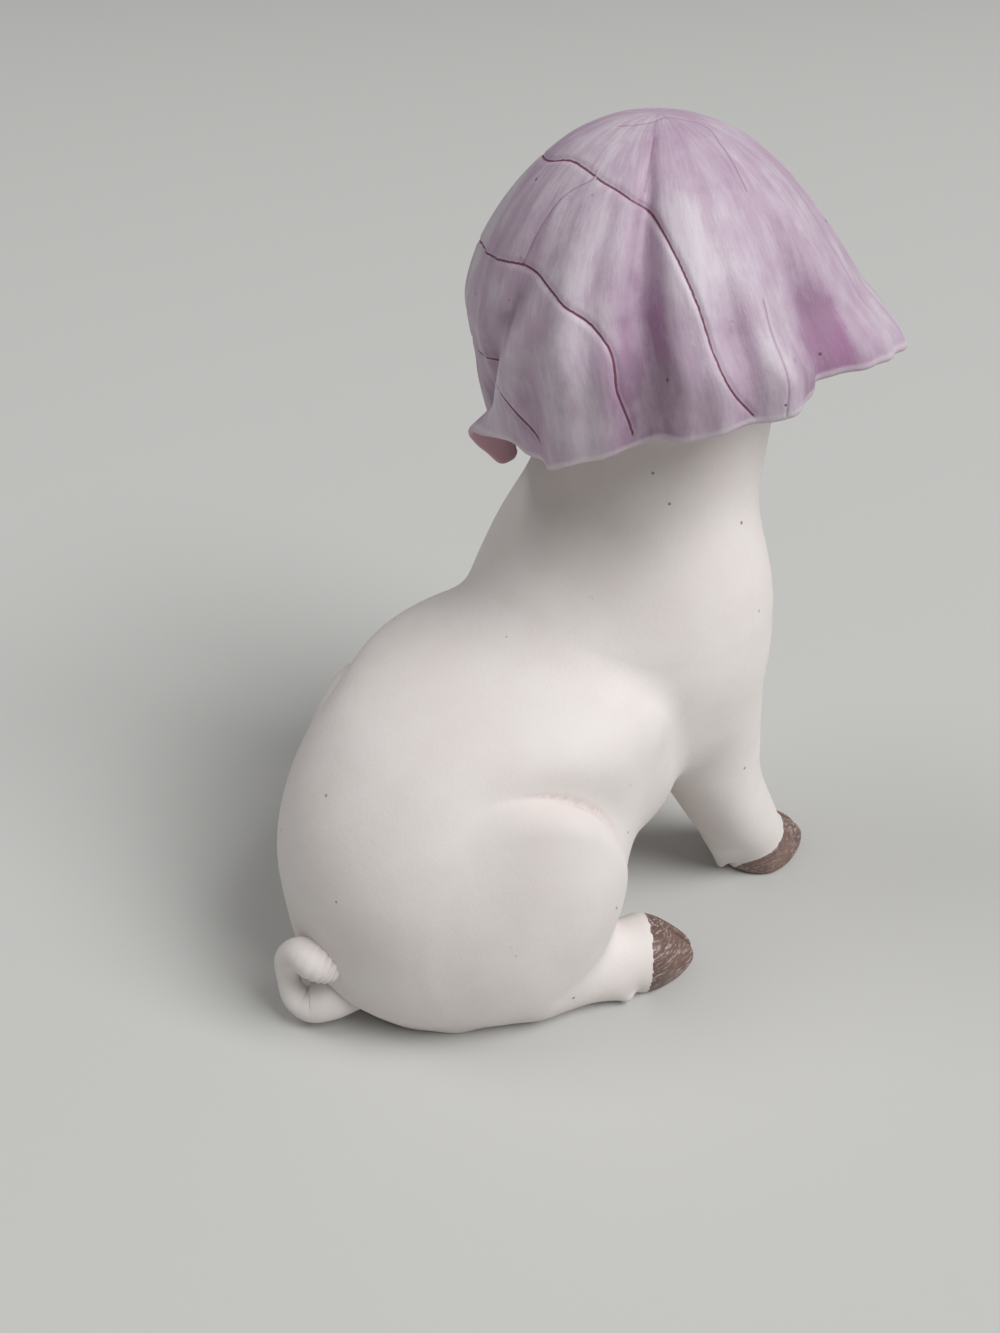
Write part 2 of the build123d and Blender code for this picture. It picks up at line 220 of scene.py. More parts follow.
def turned(points: np.ndarray, centre: Point, degrees: float) -> np.ndarray:
    """Finds the places of points as a shape that is turned about Z sees them.

    Args:
        points: Places in the part's frame.
        centre: Origin of the shape.
        degrees: Turn of the shape.

    Returns:
        The places in the shape's own frame.
    """
    angle = math.radians(degrees)
    offset = points - np.asarray(centre, float)
    across = math.cos(angle) * offset[..., 0] + math.sin(angle) * offset[..., 1]
    along = math.cos(angle) * offset[..., 1] - math.sin(angle) * offset[..., 0]
    return np.stack([across, along, offset[..., 2]], axis=-1)


def smooth_path(corners: Sequence[Sequence[float]], count: int) -> np.ndarray:
    """Lays a round curve through given corners.

    Args:
        corners: Places, with any further values, in their order.
        count: Number of points wanted.

    Returns:
        Points along the curve, evenly shared out between the corners.
    """
    knots = np.asarray(corners, float)
    padded = np.concatenate([2 * knots[:1] - knots[1:2], knots, 2 * knots[-1:] - knots[-2:-1]])
    places = np.linspace(0, len(knots) - 1, count)
    cell = np.minimum(places.astype(int), len(knots) - 2)
    part = (places - cell)[:, None]
    before, start, end, after = (padded[cell + step] for step in range(4))
    bend = 2 * before - 5 * start + 4 * end - after
    twist = 3 * (start - end) + after - before
    return start + part / 2 * (end - before + part * (bend + part * twist))


def folded(points: np.ndarray) -> np.ndarray:
    """Folds both sides of the animal onto its left side.

    Args:
        points: Places on either side.

    Returns:
        The same places, or their mirror images, on the left side.
    """
    half = points.copy()
    half[..., 0] = np.abs(half[..., 0])
    return half


def wavy(points: np.ndarray, length: float) -> np.ndarray:
    """Makes an irregular wave, the same on each run.

    Args:
        points: Places to read the wave at.
        length: Length of its longest swing.

    Returns:
        A value between about -1 and 1 for each point.
    """
    turn = FULL_TURN / length
    across, along, up = points[..., 0], points[..., 1], points[..., 2]
    # Slopes and offsets are chosen so that the four waves fall out of step
    first = np.sin(turn * (across + 0.6 * up) + 1.3) * np.sin(turn * (0.8 * along - 0.5 * across) + 0.4)
    second = np.sin(turn * 1.7 * (up - 0.3 * along) + 2.1) * np.sin(turn * 1.3 * along + 0.2 * up)
    return (first + second) / 2


def show(name: str, data: bpy.types.ID) -> bpy.types.Object:
    """Puts a new object into the scene.

    Args:
        name: Name of the object.
        data: Its mesh, curve, light or camera.

    Returns:
        The object.
    """
    thing = bpy.data.objects.new(name, data)
    bpy.context.scene.collection.objects.link(thing)
    return thing


def smooth_mesh(
    name: str, points: np.ndarray, faces: Sequence[Sequence[int]], values: dict[str, np.ndarray]
) -> bpy.types.Mesh:
    """Makes a smoothly shaded mesh in metres.

    Args:
        name: Name of the mesh.
        points: Places in millimetres.
        faces: Corner numbers of each face.
        values: Values to paint by, one per point under each name.

    Returns:
        The mesh.
    """
    mesh = bpy.data.meshes.new(name)
    mesh.from_pydata((points * MM).tolist(), [], faces)
    mesh.polygons.foreach_set("use_smooth", np.ones(len(mesh.polygons), bool))
    for label, data in values.items():
        layer = mesh.attributes.new(label, "FLOAT", "POINT")
        layer.data.foreach_set("value", np.asarray(data, np.float32))
    mesh.update()
    return mesh


def ring_faces(rows: int, around: int) -> list[tuple[int, ...]]:
    """Joins rows of points that close round a turn, with a fan to a pole at each end.

    Args:
        rows: Number of rows.
        around: Number of points in a row. The two poles are numbered after the last row.

    Returns:
        Corner numbers of each face, outwards where the rows run down and the turn is anticlockwise
        from above.
    """
    number = np.arange(rows * around).reshape(rows, around)
    after = np.roll(number, -1, axis=1)
    quads = np.stack([number[:-1], number[1:], after[1:], after[:-1]], axis=-1).reshape(-1, 4)
    top, bottom = number.size, number.size + 1
    fans = [(top, a, b) for a, b in zip(number[0].tolist(), after[0].tolist())]
    fans += [(bottom, b, a) for a, b in zip(number[-1].tolist(), after[-1].tolist())]
    return [tuple(face) for face in quads.tolist()] + fans


@dataclass
class Surface:
    """Triangles in millimetres with smooth normals and values to paint by."""

    points: np.ndarray
    faces: np.ndarray
    normals: np.ndarray
    values: dict[str, np.ndarray] = field(default_factory=dict)

    def cut(self, level: np.ndarray) -> tuple["Surface", "Surface"]:
        """Cuts the surface where a value per point is zero.

        Args:
            level: One value per point.

        Returns:
            The part above zero and the part below, with equal points along the cut.
        """
        level = np.where(np.abs(level) < SLIGHT, SLIGHT, level)
        above = level > 0
        count = above[self.faces].sum(axis=1)
        mixed = self.faces[(count == 1) | (count == 2)]
        if len(mixed) == 0:
            return self.only(self.faces[count == 3]), self.only(self.faces[count == 0])
        lone_above = above[mixed].sum(axis=1) == 1
        lone = np.argmax(above[mixed] == lone_above[:, None], axis=1)
        turn = (lone[:, None] + np.arange(3)) % 3
        mixed = np.take_along_axis(mixed, turn, axis=1)
        ends = np.concatenate([mixed[:, [0, 1]], mixed[:, [0, 2]]])
        edges, back = np.unique(np.sort(ends, axis=1), axis=0, return_inverse=True)
        back = back.reshape(-1)
        low, high = level[edges[:, 0]], level[edges[:, 1]]
        part = (low / (low - high))[:, None]

        def between(data: np.ndarray) -> np.ndarray:
            """The data with its values at the cut points added."""
            share = part if data.ndim > 1 else part[:, 0]
            cut = data[edges[:, 0]] * (1 - share) + data[edges[:, 1]] * share
            return np.concatenate([data, cut])

        values = {name: between(data) for name, data in self.values.items()}
        whole = Surface(between(self.points), self.faces, between(self.normals), values)
        first = len(self.points) + back[: len(mixed)]
        second = len(self.points) + back[len(mixed) :]
        tips = np.stack([mixed[:, 0], first, second], axis=1)
        near_bases = np.stack([first, mixed[:, 1], mixed[:, 2]], axis=1)
        far_bases = np.stack([first, mixed[:, 2], second], axis=1)
        bases = np.concatenate([near_bases, far_bases])
        twice = np.concatenate([lone_above, lone_above])
        upper = np.concatenate([self.faces[count == 3], tips[lone_above], bases[~twice]])
        lower = np.concatenate([self.faces[count == 0], tips[~lone_above], bases[twice]])
        return whole.only(upper), whole.only(lower)

    def only(self, faces: np.ndarray) -> "Surface":
        """Keeps some faces.

        Args:
            faces: The faces to keep.

        Returns:
            A surface with these faces and the points that they use.
        """
        used, back = np.unique(faces, return_inverse=True)
        values = {name: data[used] for name, data in self.values.items()}
        return Surface(self.points[used], back.reshape(-1, 3), self.normals[used], values)

    def open_loops(self) -> list[list[int]]:
        """Finds the open edges.

        Returns:
            The point numbers of each open loop, in the order of its faces.
        """
        ends = np.concatenate([self.faces[:, [0, 1]], self.faces[:, [1, 2]], self.faces[:, [2, 0]]])
        key = ends[:, 0].astype(np.int64) * len(self.points) + ends[:, 1]
        mate = ends[:, 1].astype(np.int64) * len(self.points) + ends[:, 0]
        follow = {int(a): int(b) for a, b in ends[~np.isin(mate, key)]}
        loops: list[list[int]] = []
        while follow:
            start, step = next(iter(follow.items()))
            loop = [start]
            del follow[start]
            while step != start and step in follow:
                loop.append(step)
                step = follow.pop(step)
            loops.append(loop)
        return loops

    def closed(self) -> "Surface":
        """Closes each open loop by a fan of triangles.

        Returns:
            The closed surface, with one more point in the middle of each loop.
        """
        loops = self.open_loops()
        points, normals, faces = [self.points], [self.normals], [self.faces]
        for middle, loop in enumerate(loops, start=len(self.points)):
            points.append(self.points[loop].mean(axis=0)[None])
            normals.append(np.array([[0.0, 0.0, -1.0]]))
            ring = np.array(loop)
            faces.append(np.stack([np.roll(ring, -1), ring, np.full(len(ring), middle)], axis=1))
        values = {
            name: np.concatenate([data, [data[loop].mean() for loop in loops]])
            for name, data in self.values.items()
        }
        return Surface(np.concatenate(points), np.concatenate(faces), np.concatenate(normals), values)

    def to_object(self, name: str) -> bpy.types.Object:
        """Makes a Blender object of the surface.

        Args:
            name: Name of the object.

        Returns:
            The object, in metres and smoothly shaded.
        """
        mesh = smooth_mesh(name, self.points, self.faces.tolist(), self.values)
        mesh.normals_split_custom_set_from_vertices(self.normals.tolist())
        mesh.update()
        return show(name, mesh)


@dataclass(frozen=True)
class FieldMesher:
    """Turns a distance field that is equal on both sides of X = 0 into a smooth surface."""

    step: float = 1.22
    reach: Point = (64.0, 126.0, 232.0)
    back: float = 84.0
    below: float = 3.0
    probe: float = 0.25
    settle_rounds: int = 3
    least_slope: float = 0.2
    crease_reach: float = 3.0

    def volume(self, shape: Field) -> tuple[np.ndarray, np.ndarray]:
        """Samples the field on a grid over the left half and mirrors it.

        Args:
            shape: The field.

        Returns:
            The samples and the place of the grid's first point.
        """
        across = np.arange(0, self.reach[0], self.step)
        along = np.arange(-self.reach[1], self.back, self.step)
        up = np.arange(-self.below, self.reach[2], self.step)
        layers = []
        for place in across:
            grid = np.stack(np.meshgrid([place], along, up, indexing="ij"), axis=-1)
            layers.append(shape(grid)[0])
        half = np.stack(layers)
        return np.concatenate([half[:0:-1], half]), np.array([-across[-1], along[0], up[0]])

    def cell_points(self, samples: np.ndarray, cells: np.ndarray) -> np.ndarray:
        """Places one point in each grid cell that the surface crosses.

        Args:
            samples: The field on the grid.
            cells: Grid places of these cells.

        Returns:
            The points, in steps of the grid.
        """
        total = np.zeros(cells.shape)
        hits = np.zeros(len(cells))
        for first in np.ndindex(2, 2, 2):
            for axis in range(3):
                if first[axis] == 0:
                    step = np.eye(3, dtype=int)[axis]
                    near = samples[tuple((cells + first).T)]
                    far = samples[tuple((cells + first + step).T)]
                    crossed = (near < 0) != (far < 0)
                    part = near[crossed] / (near[crossed] - far[crossed])
                    total[crossed] += np.array(first) + part[:, None] * step
                    hits += crossed
        return cells + total / hits[:, None]

    @staticmethod
    def cell_quads(inside: np.ndarray, index: np.ndarray) -> np.ndarray:
        """Joins the points round each grid edge that the surface crosses.

        Args:
            inside: Whether each grid point lies inside.
            index: Number of each cell's point.

        Returns:
            The four points of each face, turned outwards.
        """
        quads = []
        for axis in range(3):
            side, rise = (axis + 1) % 3, (axis + 2) % 3
            lower = np.take(inside, range(inside.shape[axis] - 1), axis)
            upper = np.take(inside, range(1, inside.shape[axis]), axis)
            edge = np.argwhere(lower != upper)
            ring = []
            for side_step, rise_step in ((0, 0), (-1, 0), (-1, -1), (0, -1)):
                cell = edge.copy()
                cell[:, side] += side_step
                cell[:, rise] += rise_step
                ring.append(index[tuple(cell.T)])
            quad = np.stack(ring, axis=1)
            outward = lower[tuple(edge.T)]
            quad[~outward] = quad[~outward][:, ::-1]
            quads.append(quad)
        return np.concatenate(quads)

    def nets(self, samples: np.ndarray, origin: np.ndarray) -> tuple[np.ndarray, np.ndarray]:
        """Lays a net over the surface.

        Args:
            samples: The field on the grid.
            origin: Place of the grid's first point.

        Returns:
            The points and the triangles.
        """
        inside = samples < 0
        shape = tuple(size - 1 for size in samples.shape)
        count = np.zeros(shape, int)
        for i, j, k in np.ndindex(2, 2, 2):
            count += inside[i : i + shape[0], j : j + shape[1], k : k + shape[2]]
        cells = np.argwhere((count > 0) & (count < CELL_CORNERS))
        index = np.full(shape, -1)
        index[tuple(cells.T)] = np.arange(len(cells))
        points = origin + self.step * self.cell_points(samples, cells)
        quad = self.cell_quads(inside, index)
        return points, np.concatenate([quad[:, [0, 1, 2]], quad[:, [0, 2, 3]]])

    def gradient(self, shape: Field, points: np.ndarray) -> np.ndarray:
        """Measures the slope of the field.

        Args:
            shape: The field.
            points: Places to measure at.

        Returns:
            The slope along X, Y and Z at each point.
        """
        columns = []
        for axis in range(3):
            step = self.probe * np.eye(3)[axis]
            columns.append((shape(points + step) - shape(points - step)) / (2 * self.probe))
        return np.stack(columns, axis=-1)

    def surface(self, shape: Field) -> Surface:
        """Makes the closed surface of the field.

        Args:
            shape: The field.

        Returns:
            The surface, with a value that grows in its hollows, which the paints turn into painted shade.
        """
        points, faces = self.nets(*self.volume(shape))
        for _ in range(self.settle_rounds):
            slope = self.gradient(shape, points)
            square = np.maximum((slope * slope).sum(axis=1), self.least_slope)
            move = (shape(points) / square)[:, None] * slope
            points = points - np.clip(move, -self.step, self.step)
        slope = self.gradient(shape, points)
        normals = slope / np.maximum(np.linalg.norm(slope, axis=1), SLIGHT)[:, None]
        room = shape(points + self.crease_reach * normals)
        crease = np.clip((self.crease_reach - room) / self.crease_reach, 0, 1)
        return Surface(points, faces, normals, {"crease": crease})


@dataclass(frozen=True)
class Trunk:
    """Torso, neck and thighs of the sitting animal, as distance fields."""

    tall: float
    deep: float = 120.0
    wide: float = 102.0
    # Height of tall, centre of deep, half depth of deep, half width of wide
    belly_shares: RowShares = (
        (0.000, 0.225, 0.312, 0.358),
        (0.085, 0.258, 0.380, 0.445),
        (0.240, 0.245, 0.422, 0.490),
        (0.420, 0.122, 0.503, 0.500),
        (0.550, 0.034, 0.440, 0.490),
        (0.600, 0.000, 0.355, 0.440),
        (0.640, -0.070, 0.255, 0.330),
        (0.670, -0.120, 0.155, 0.200),
        (0.690, -0.140, 0.050, 0.060),
    )
    neck_shares: RowShares = (
        (0.361, -0.400, 0.070, 0.200),
        (0.410, -0.370, 0.190, 0.310),
        (0.470, -0.340, 0.280, 0.375),
        (0.554, -0.283, 0.367, 0.410),
        (0.627, -0.258, 0.392, 0.405),
        (0.675, -0.300, 0.350, 0.400),
        (0.723, -0.335, 0.315, 0.390),
        (0.771, -0.362, 0.290, 0.378),
        (0.873, -0.403, 0.265, 0.350),
        (0.994, -0.438, 0.275, 0.325),
        (1.120, -0.450, 0.270, 0.320),
    )
    softness: float = 4.5
    bell_reach: int = 3
    crown_round: float = 14.0
    neck_blends: Pair = (3.0, 11.0)
    neck_blend_rise: Pair = (90.0, 120.0)
    thigh_at: Point = (35.0, 22.5, 40.0)
    thigh_radii: Point = (19.5, 26.0, 36.0)
    thigh_blend: float = 14.0
    brisket_at: Point = (0.0, -19.5, 63.0)
    brisket_radii: Point = (40.0, 27.0, 33.0)
    brisket_blend: float = 14.0
    blade_at: Point = (24.0, -35.0, 86.0)
    blade_radii: Point = (21.5, 28.0, 32.0)
    blade_blend: float = 9.0
    # Oval over the thigh whose upper edge is creased: places along Y and Z
    pad_at: Pair = (36.0, 42.0)
    pad_half: Pair = (33.5, 44.0)
    pad_swell: float = 3.8
    pad_round: float = 6.0
    pad_crease: float = 0.8
    pad_fade: Pair = (22.0, 52.0)
    pad_rise: Pair = (20.0, 62.0)
    groove_deep: float = 2.2
    groove_wide: float = 7.0
    groove_rise: Pair = (48.0, 78.0)
    groove_fade: Pair = (34.0, 62.0)

    def rows(self, shares: RowShares) -> tuple[np.ndarray, np.ndarray, np.ndarray, np.ndarray]:
        """Turns a table of shares into sections, softened along the height.

        Args:
            shares: The table.

        Returns:
            Heights, centres, half depths and half widths, a millimetre of height apart.
        """
        heights, *columns = np.array(shares).T
        fine = np.arange(heights[0] * self.tall, heights[-1] * self.tall + 1)
        reach = int(self.bell_reach * self.softness)
        bell = np.exp(-((np.arange(-reach, reach + 1) / self.softness) ** 2) / 2)
        soft = []
        for column in columns:
            row = np.pad(smooth_table(fine / self.tall, heights, column), reach, "edge")
            soft.append(np.convolve(row, bell, "valid") / bell.sum())
        centre, half_deep, half_wide = soft
        return fine, centre * self.deep, half_deep * self.deep, half_wide * self.wide

    def stack(self, points: np.ndarray, shares: RowShares) -> np.ndarray:
        """Finds the distance to a stack of oval sections.

        Args:
            points: Places to measure from.
            shares: Table of the sections.

        Returns:
            The distance of each point, below zero inside.
        """
        heights, centres, depths, widths = self.rows(shares)
        up = points[..., 2]
        half_deep = np.interp(up, heights, depths)
        half_wide = np.interp(up, heights, widths)
        along = points[..., 1] - np.interp(up, heights, centres)
        around = np.hypot(points[..., 0] / half_wide, along / half_deep)
        side = (around - 1) * np.minimum(half_deep, half_wide)
        side = smooth_limit(side, up - heights[-1], self.crown_round)
        return np.maximum(side, heights[0] - up)

    def flesh(self, points: np.ndarray) -> np.ndarray:
        """Finds the distance to belly, brisket, thigh, shoulder blade and neck in one.

        Args:
            points: Places on the left side.

        Returns:
            The distance of each point, below zero inside.
        """
        brisket = ellipsoid(points, self.brisket_at, self.brisket_radii)
        thigh = ellipsoid(points, self.thigh_at, self.thigh_radii)
        blade = ellipsoid(points, self.blade_at, self.blade_radii)
        flesh = smooth_union(self.stack(points, self.belly_shares), brisket, self.brisket_blend)
        flesh = smooth_union(flesh, thigh, self.thigh_blend)
        neck = smooth_union(self.stack(points, self.neck_shares), blade, self.blade_blend)
        return smooth_union(flesh, neck, blend_up(points, self.neck_blends, self.neck_blend_rise))

    def whole(self, points: np.ndarray) -> np.ndarray:
        """Adds the thigh's upper edge, which is creased in front and flows into the rump behind.

        Args:
            points: Places on the left side.

        Returns:
            The distance of each point to the torso, below zero inside.
        """
        flesh = self.flesh(points)
        along = (points[..., 1] - self.pad_at[0]) / self.pad_half[0]
        up = (points[..., 2] - self.pad_at[1]) / self.pad_half[1]
        edge = (np.hypot(along, up) - 1) * min(self.pad_half)
        fade = 1 - smooth_step(points[..., 1], *self.pad_fade)
        swell = self.pad_swell * fade * smooth_step(points[..., 2], *self.pad_rise)
        pad = smooth_limit(flesh - swell, edge, self.pad_round)
        groove = self.groove_deep * smooth_step(points[..., 2], *self.groove_rise)
        groove = groove * (1 - smooth_step(points[..., 1], *self.groove_fade))
        groove = groove * np.exp(-((np.maximum(edge, 0) / self.groove_wide) ** 2))
        return smooth_union(flesh + groove, pad, self.pad_crease)


@dataclass(frozen=True)
class Hoof:
    """Cloven hoof with its dewclaw on the left side, as a distance field."""

    toe: Point
    claw: Point
    turn: float
    dewclaw: tuple[Point, Point]
    # Place, lean along the toe and rise of the brush line
    line: Point
    taper_share: float = 0.32
    swell_share: float = 0.3
    cleft_deep: float = 3.0
    cleft_width: float = 1.0
    cleft_start: Pair = (-2.0, 5.0)
    dewclaw_radii: Pair = (5.6, 1.4)
    blend: float = 5.0
    heel: float = 14.5
    rag: float = 0.7
    rag_length: float = 2.8
    room: float = 24.0

    def whole(self, points: np.ndarray) -> np.ndarray:
        """Finds the distance to the claws and the dewclaw.

        Args:
            points: Places on the left side.

        Returns:
            The distance of each point, below zero inside.
        """
        local = turned(points, self.toe, self.turn)
        taper = 1 + self.taper_share * np.clip(local[..., 1] / self.claw[1], -1, self.swell_share)
        slim = local / np.stack([taper, np.ones_like(taper), taper], axis=-1)
        shape = ellipsoid(slim, (0.0, 0.0, 0.0), self.claw)
        cleft = self.cleft_deep * np.exp(-((local[..., 0] / self.cleft_width) ** 2))
        shape = shape + cleft * smooth_step(-local[..., 1], *self.cleft_start)
        return np.minimum(shape, round_cone(points, *self.dewclaw, *self.dewclaw_radii))

    def level(self, points: np.ndarray) -> np.ndarray:
        """Finds what of the foot is painted, up to a ragged brush line.

        Args:
            points: Places on the left side.

        Returns:
            A value for each point, above zero on the painted hoof.
        """
        local = turned(points, self.toe, self.turn)
        place, lean, rise = self.line
        ragged = self.rag * wavy(points, self.rag_length)
        ahead = place - lean * local[..., 1] - rise * local[..., 2] + ragged
        ahead = smooth_union(ahead, self.heel - local[..., 1], self.blend)
        return np.minimum(ahead, self.room - np.linalg.norm(local, axis=-1))


@dataclass(frozen=True)
class Limbs:
    """Forelegs, hind feet and their hooves on the left side, as distance fields."""

    fore_places: tuple[Point, ...] = (
        (19.0, -44.5, 108.0),
        (22.5, -47.5, 82.0),
        (25.0, -54.0, 60.0),
        (27.3, -59.0, 44.0),
        (30.0, -72.0, 19.0),
        (31.2, -82.5, 0.0),
    )
    fore_radii: tuple[float, ...] = (28.0, 24.5, 19.7, 16.7, 14.7, 10.5)
    hind_places: tuple[Point, ...] = ((36.0, 24.0, 12.5), (48.4, -7.0, 10.8))
    hind_radii: tuple[float, ...] = (13.5, 10.6)
    fore_hoof: Hoof = Hoof(
        toe=(32.4, -85.2, 3.5),
        claw=(11.5, 15.0, 13.5),
        turn=16.0,
        dewclaw=((31.0, -65.0, 15.0), (29.5, -67.0, 1.8)),
        line=(11.0, 0.42, 1.0),
    )
    hind_hoof: Hoof = Hoof(
        toe=(48.6, -13.3, 6.5),
        claw=(10.4, 13.8, 12.8),
        turn=34.0,
        dewclaw=((50.0, 4.0, 6.5), (54.2, 2.8, 3.0)),
        line=(2.6, 1.0, 0.05),
    )

    def foreleg(self, points: np.ndarray) -> np.ndarray:
        """Distance to the straight front leg."""
        return upright_limb(points, self.fore_places, self.fore_radii)

    def hind_foot(self, points: np.ndarray) -> np.ndarray:
        """Distance to the shank that lies along the floor."""
        return round_cone(points, *self.hind_places, *self.hind_radii)

    def hooves(self, points: np.ndarray) -> np.ndarray:
        """Distance to the nearer of the fore and the hind hoof."""
        return np.minimum(self.fore_hoof.whole(points), self.hind_hoof.whole(points))


@dataclass(frozen=True)
class Head:
    """Pig's head with a disc snout under the hat, as a distance field on the left side."""

    seat: float
    at: Point = (0.0, -55.0, 190.0)
    radii: Point = (36.0, 38.0, 34.0)
    cheek_at: Point = (17.0, -71.0, 183.0)
    cheek_radii: Point = (15.0, 16.0, 14.0)
    snout_places: tuple[Point, Point] = ((0.0, -74.0, 183.0), (0.0, -101.0, 180.0))
    snout_radii: Pair = (17.0, 12.0)
    disc_at: Point = (0.0, -105.0, 180.0)
    disc_radii: Point = (14.5, 3.4, 12.5)
    nostril_at: Point = (5.2, -108.5, 180.5)
    nostril_radii: Point = (2.3, 4.0, 3.7)
    mouth_height: float = 168.5
    mouth_curl: float = 0.012
    mouth_deep: float = 1.5
    mouth_width: float = 1.3
    mouth_reach: Pair = (12.0, 20.0)
    mouth_front: Pair = (70.0, 80.0)
    lid_at: Point = (17.0, -88.0, 189.6)
    lid_radii: Point = (6.6, 5.6, 6.4)
    opening_at: Point = (18.4, -94.5, 188.8)
    opening_radii: Point = (4.9, 4.6, 4.4)
    flesh_blend: float = 9.0
    lid_blend: float = 3.0
    edge_blend: float = 1.2

    def whole(self, points: np.ndarray) -> np.ndarray:
        """Finds the distance to skull, cheeks, eyelids and snout with their openings and the mouth.

        Args:
            points: Places on the left side.

        Returns:
            The distance of each point, below zero inside.
        """
        skull = ellipsoid(points, self.at, self.radii)
        skull = smooth_union(skull, ellipsoid(points, self.cheek_at, self.cheek_radii), self.flesh_blend)
        snout = round_cone(points, *self.snout_places, *self.snout_radii)
        disc = ellipsoid(points, self.disc_at, self.disc_radii)
        skull = smooth_union(skull, smooth_union(snout, disc, self.edge_blend), self.flesh_blend)
        skull = smooth_union(skull, ellipsoid(points, self.lid_at, self.lid_radii), self.lid_blend)
        for at, radii in (
            (self.nostril_at, self.nostril_radii),
            (self.opening_at, self.opening_radii),
        ):
            skull = smooth_cut(skull, ellipsoid(points, at, radii), self.edge_blend)
        line = points[..., 2] - self.mouth_height - self.mouth_curl * points[..., 0] ** 2
        mouth = self.mouth_deep * np.exp(-((line / self.mouth_width) ** 2))
        mouth = mouth * (1 - smooth_step(points[..., 0], *self.mouth_reach))
        skull = skull + mouth * smooth_step(-points[..., 1], *self.mouth_front)
        return np.maximum(skull, points[..., 2] - self.seat)


@dataclass(frozen=True)
class Recess:
    """Pocket in the seat that takes the base plate."""

    centre: Pair
    half: Pair
    deep: float

    @classmethod
    def around(cls, node: str, gap: float = 0.15) -> "Recess":
        """Makes a pocket that fits round a CAD node.

        Args:
            node: Name of the node.
            gap: Room between the node and the pocket.

        Returns:
            The pocket.
        """
        low, high = (np.array(corner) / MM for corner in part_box(node))
        middle = (low + high) / 2
        half = (high - low) / 2 + gap
        return cls((middle[0], middle[1]), (half[0], half[1]), high[2] + gap)

    def tool(self, points: np.ndarray) -> np.ndarray:
        """Finds the distance to the pocket's oval block.

        Args:
            points: Places to measure from.

        Returns:
            The distance of each point, below zero inside.
        """
        across = (points[..., 0] - self.centre[0]) / self.half[0]
        along = (points[..., 1] - self.centre[1]) / self.half[1]
        side = (np.hypot(across, along) - 1) * min(self.half)
        return np.maximum(side, points[..., 2] - self.deep)


@dataclass
class Animal:
    """The whole bare animal: one field that is cut into the castings' pieces."""

    trunk: Trunk
    limbs: Limbs
    head: Head
    recess: Recess
    mesher: FieldMesher
    neck_line: float
    shank_blend: float = 5.0
    shoulder_blends: Pair = (6.0, 16.0)
    shoulder_blend_rise: Pair = (78.0, 104.0)
    neck_blend: float = 8.0
    floor_blend: float = 1.6
    # Uneven seam that the mould leaves at the floor
    flash: float = 0.9
    flash_length: float = 24.0
    flash_rise: float = 3.0

    def shape(self, points: np.ndarray) -> np.ndarray:
        """Finds the distance to the animal's skin, cut flat at the floor.

        Args:
            points: Places to measure from.

        Returns:
            The distance of each point, below zero inside.
        """
        half = folded(points)
        flash = self.flash * wavy(half, self.flash_length) * np.exp(-np.abs(half[..., 2]) / self.flash_rise)
        skin = smooth_union(self.trunk.whole(half) + flash, self.limbs.hind_foot(half), self.shank_blend)
        shoulder = blend_up(half, self.shoulder_blends, self.shoulder_blend_rise)
        skin = smooth_union(skin, self.limbs.foreleg(half), shoulder)
        skin = smooth_union(skin, self.limbs.hooves(half), self.limbs.fore_hoof.blend)
        skin = smooth_union(skin, self.head.whole(half), self.neck_blend)
        skin = smooth_cut(skin, points[..., 2], self.floor_blend)
        return np.maximum(skin, -self.recess.tool(points))

    def levels(self) -> dict[str, Field]:
        """Lists the pieces of a side in the order in which they are cut off.

        Returns:
            For each piece, a field that is above zero on it.
        """
        trunk, limbs = self.trunk, self.limbs
        return {
            "fore_hoof": limbs.fore_hoof.level,
            "hind_hoof": limbs.hind_hoof.level,
            "foreleg": lambda half: trunk.whole(half) - limbs.foreleg(half),
            "hind_foot": lambda half: trunk.whole(half) - limbs.hind_foot(half),
        }

    def pieces(self) -> dict[str, Surface]:
        """Makes the skin and cuts it apart.

        Returns:
            The surface of each piece by CAD node name, closed where it was cut.
        """
        rest = self.mesher.surface(self.shape)
        LOG.info("skin: %d points", len(rest.points))
        parts: dict[str, Surface] = {}
        parts["head"], rest = rest.cut(rest.points[:, 2] - self.neck_line)
        for side in Side:
            for name, level in self.levels().items():
                inside = np.minimum(level(folded(rest.points)), side.value * rest.points[:, 0])
                parts[f"{side.label}_{name}"], rest = rest.cut(inside)
        parts["torso_shell"] = rest
        return {name: part.closed() for name, part in parts.items()}


def turn_off(turn: np.ndarray, middle: float | np.ndarray) -> np.ndarray:
    """How far places of the turn lie from a middle, between half a turn back and half a turn on."""
    return (turn - middle + 0.5) % 1.0 - 0.5


@dataclass(frozen=True)
class Fold:
    """One fold of the leaf: its places of the turn, spread, reach of the radius and start of the drop."""

    crown_share: float
    rim_share: float
    spread_share: float
    reach_share: float
    start_share: float = 0.05
    lead_share: float = 0.05
    growth_share: float = 0.35
    crown_spread: float = 0.5
    rim_spread: float = 0.7

    def reach(self, turn: np.ndarray, drop: np.ndarray) -> np.ndarray:
        """Finds how far the fold stands out.

        Args:
            turn: Places round the leaf, as shares of the turn.
            drop: Places down the leaf, as shares of its height.

        Returns:
            Outward reach at each place, as a share of the radius.
        """
        down = np.clip(drop, 0, 1)
        off = turn_off(turn, self.crown_share + (self.rim_share - self.crown_share) * down)
        grown = smooth_step(drop, self.start_share - self.lead_share, self.start_share + self.growth_share)
        spread = self.spread_share * (self.crown_spread + self.rim_spread * down)
        return self.reach_share * grown * np.exp(-((off / spread) ** 2))


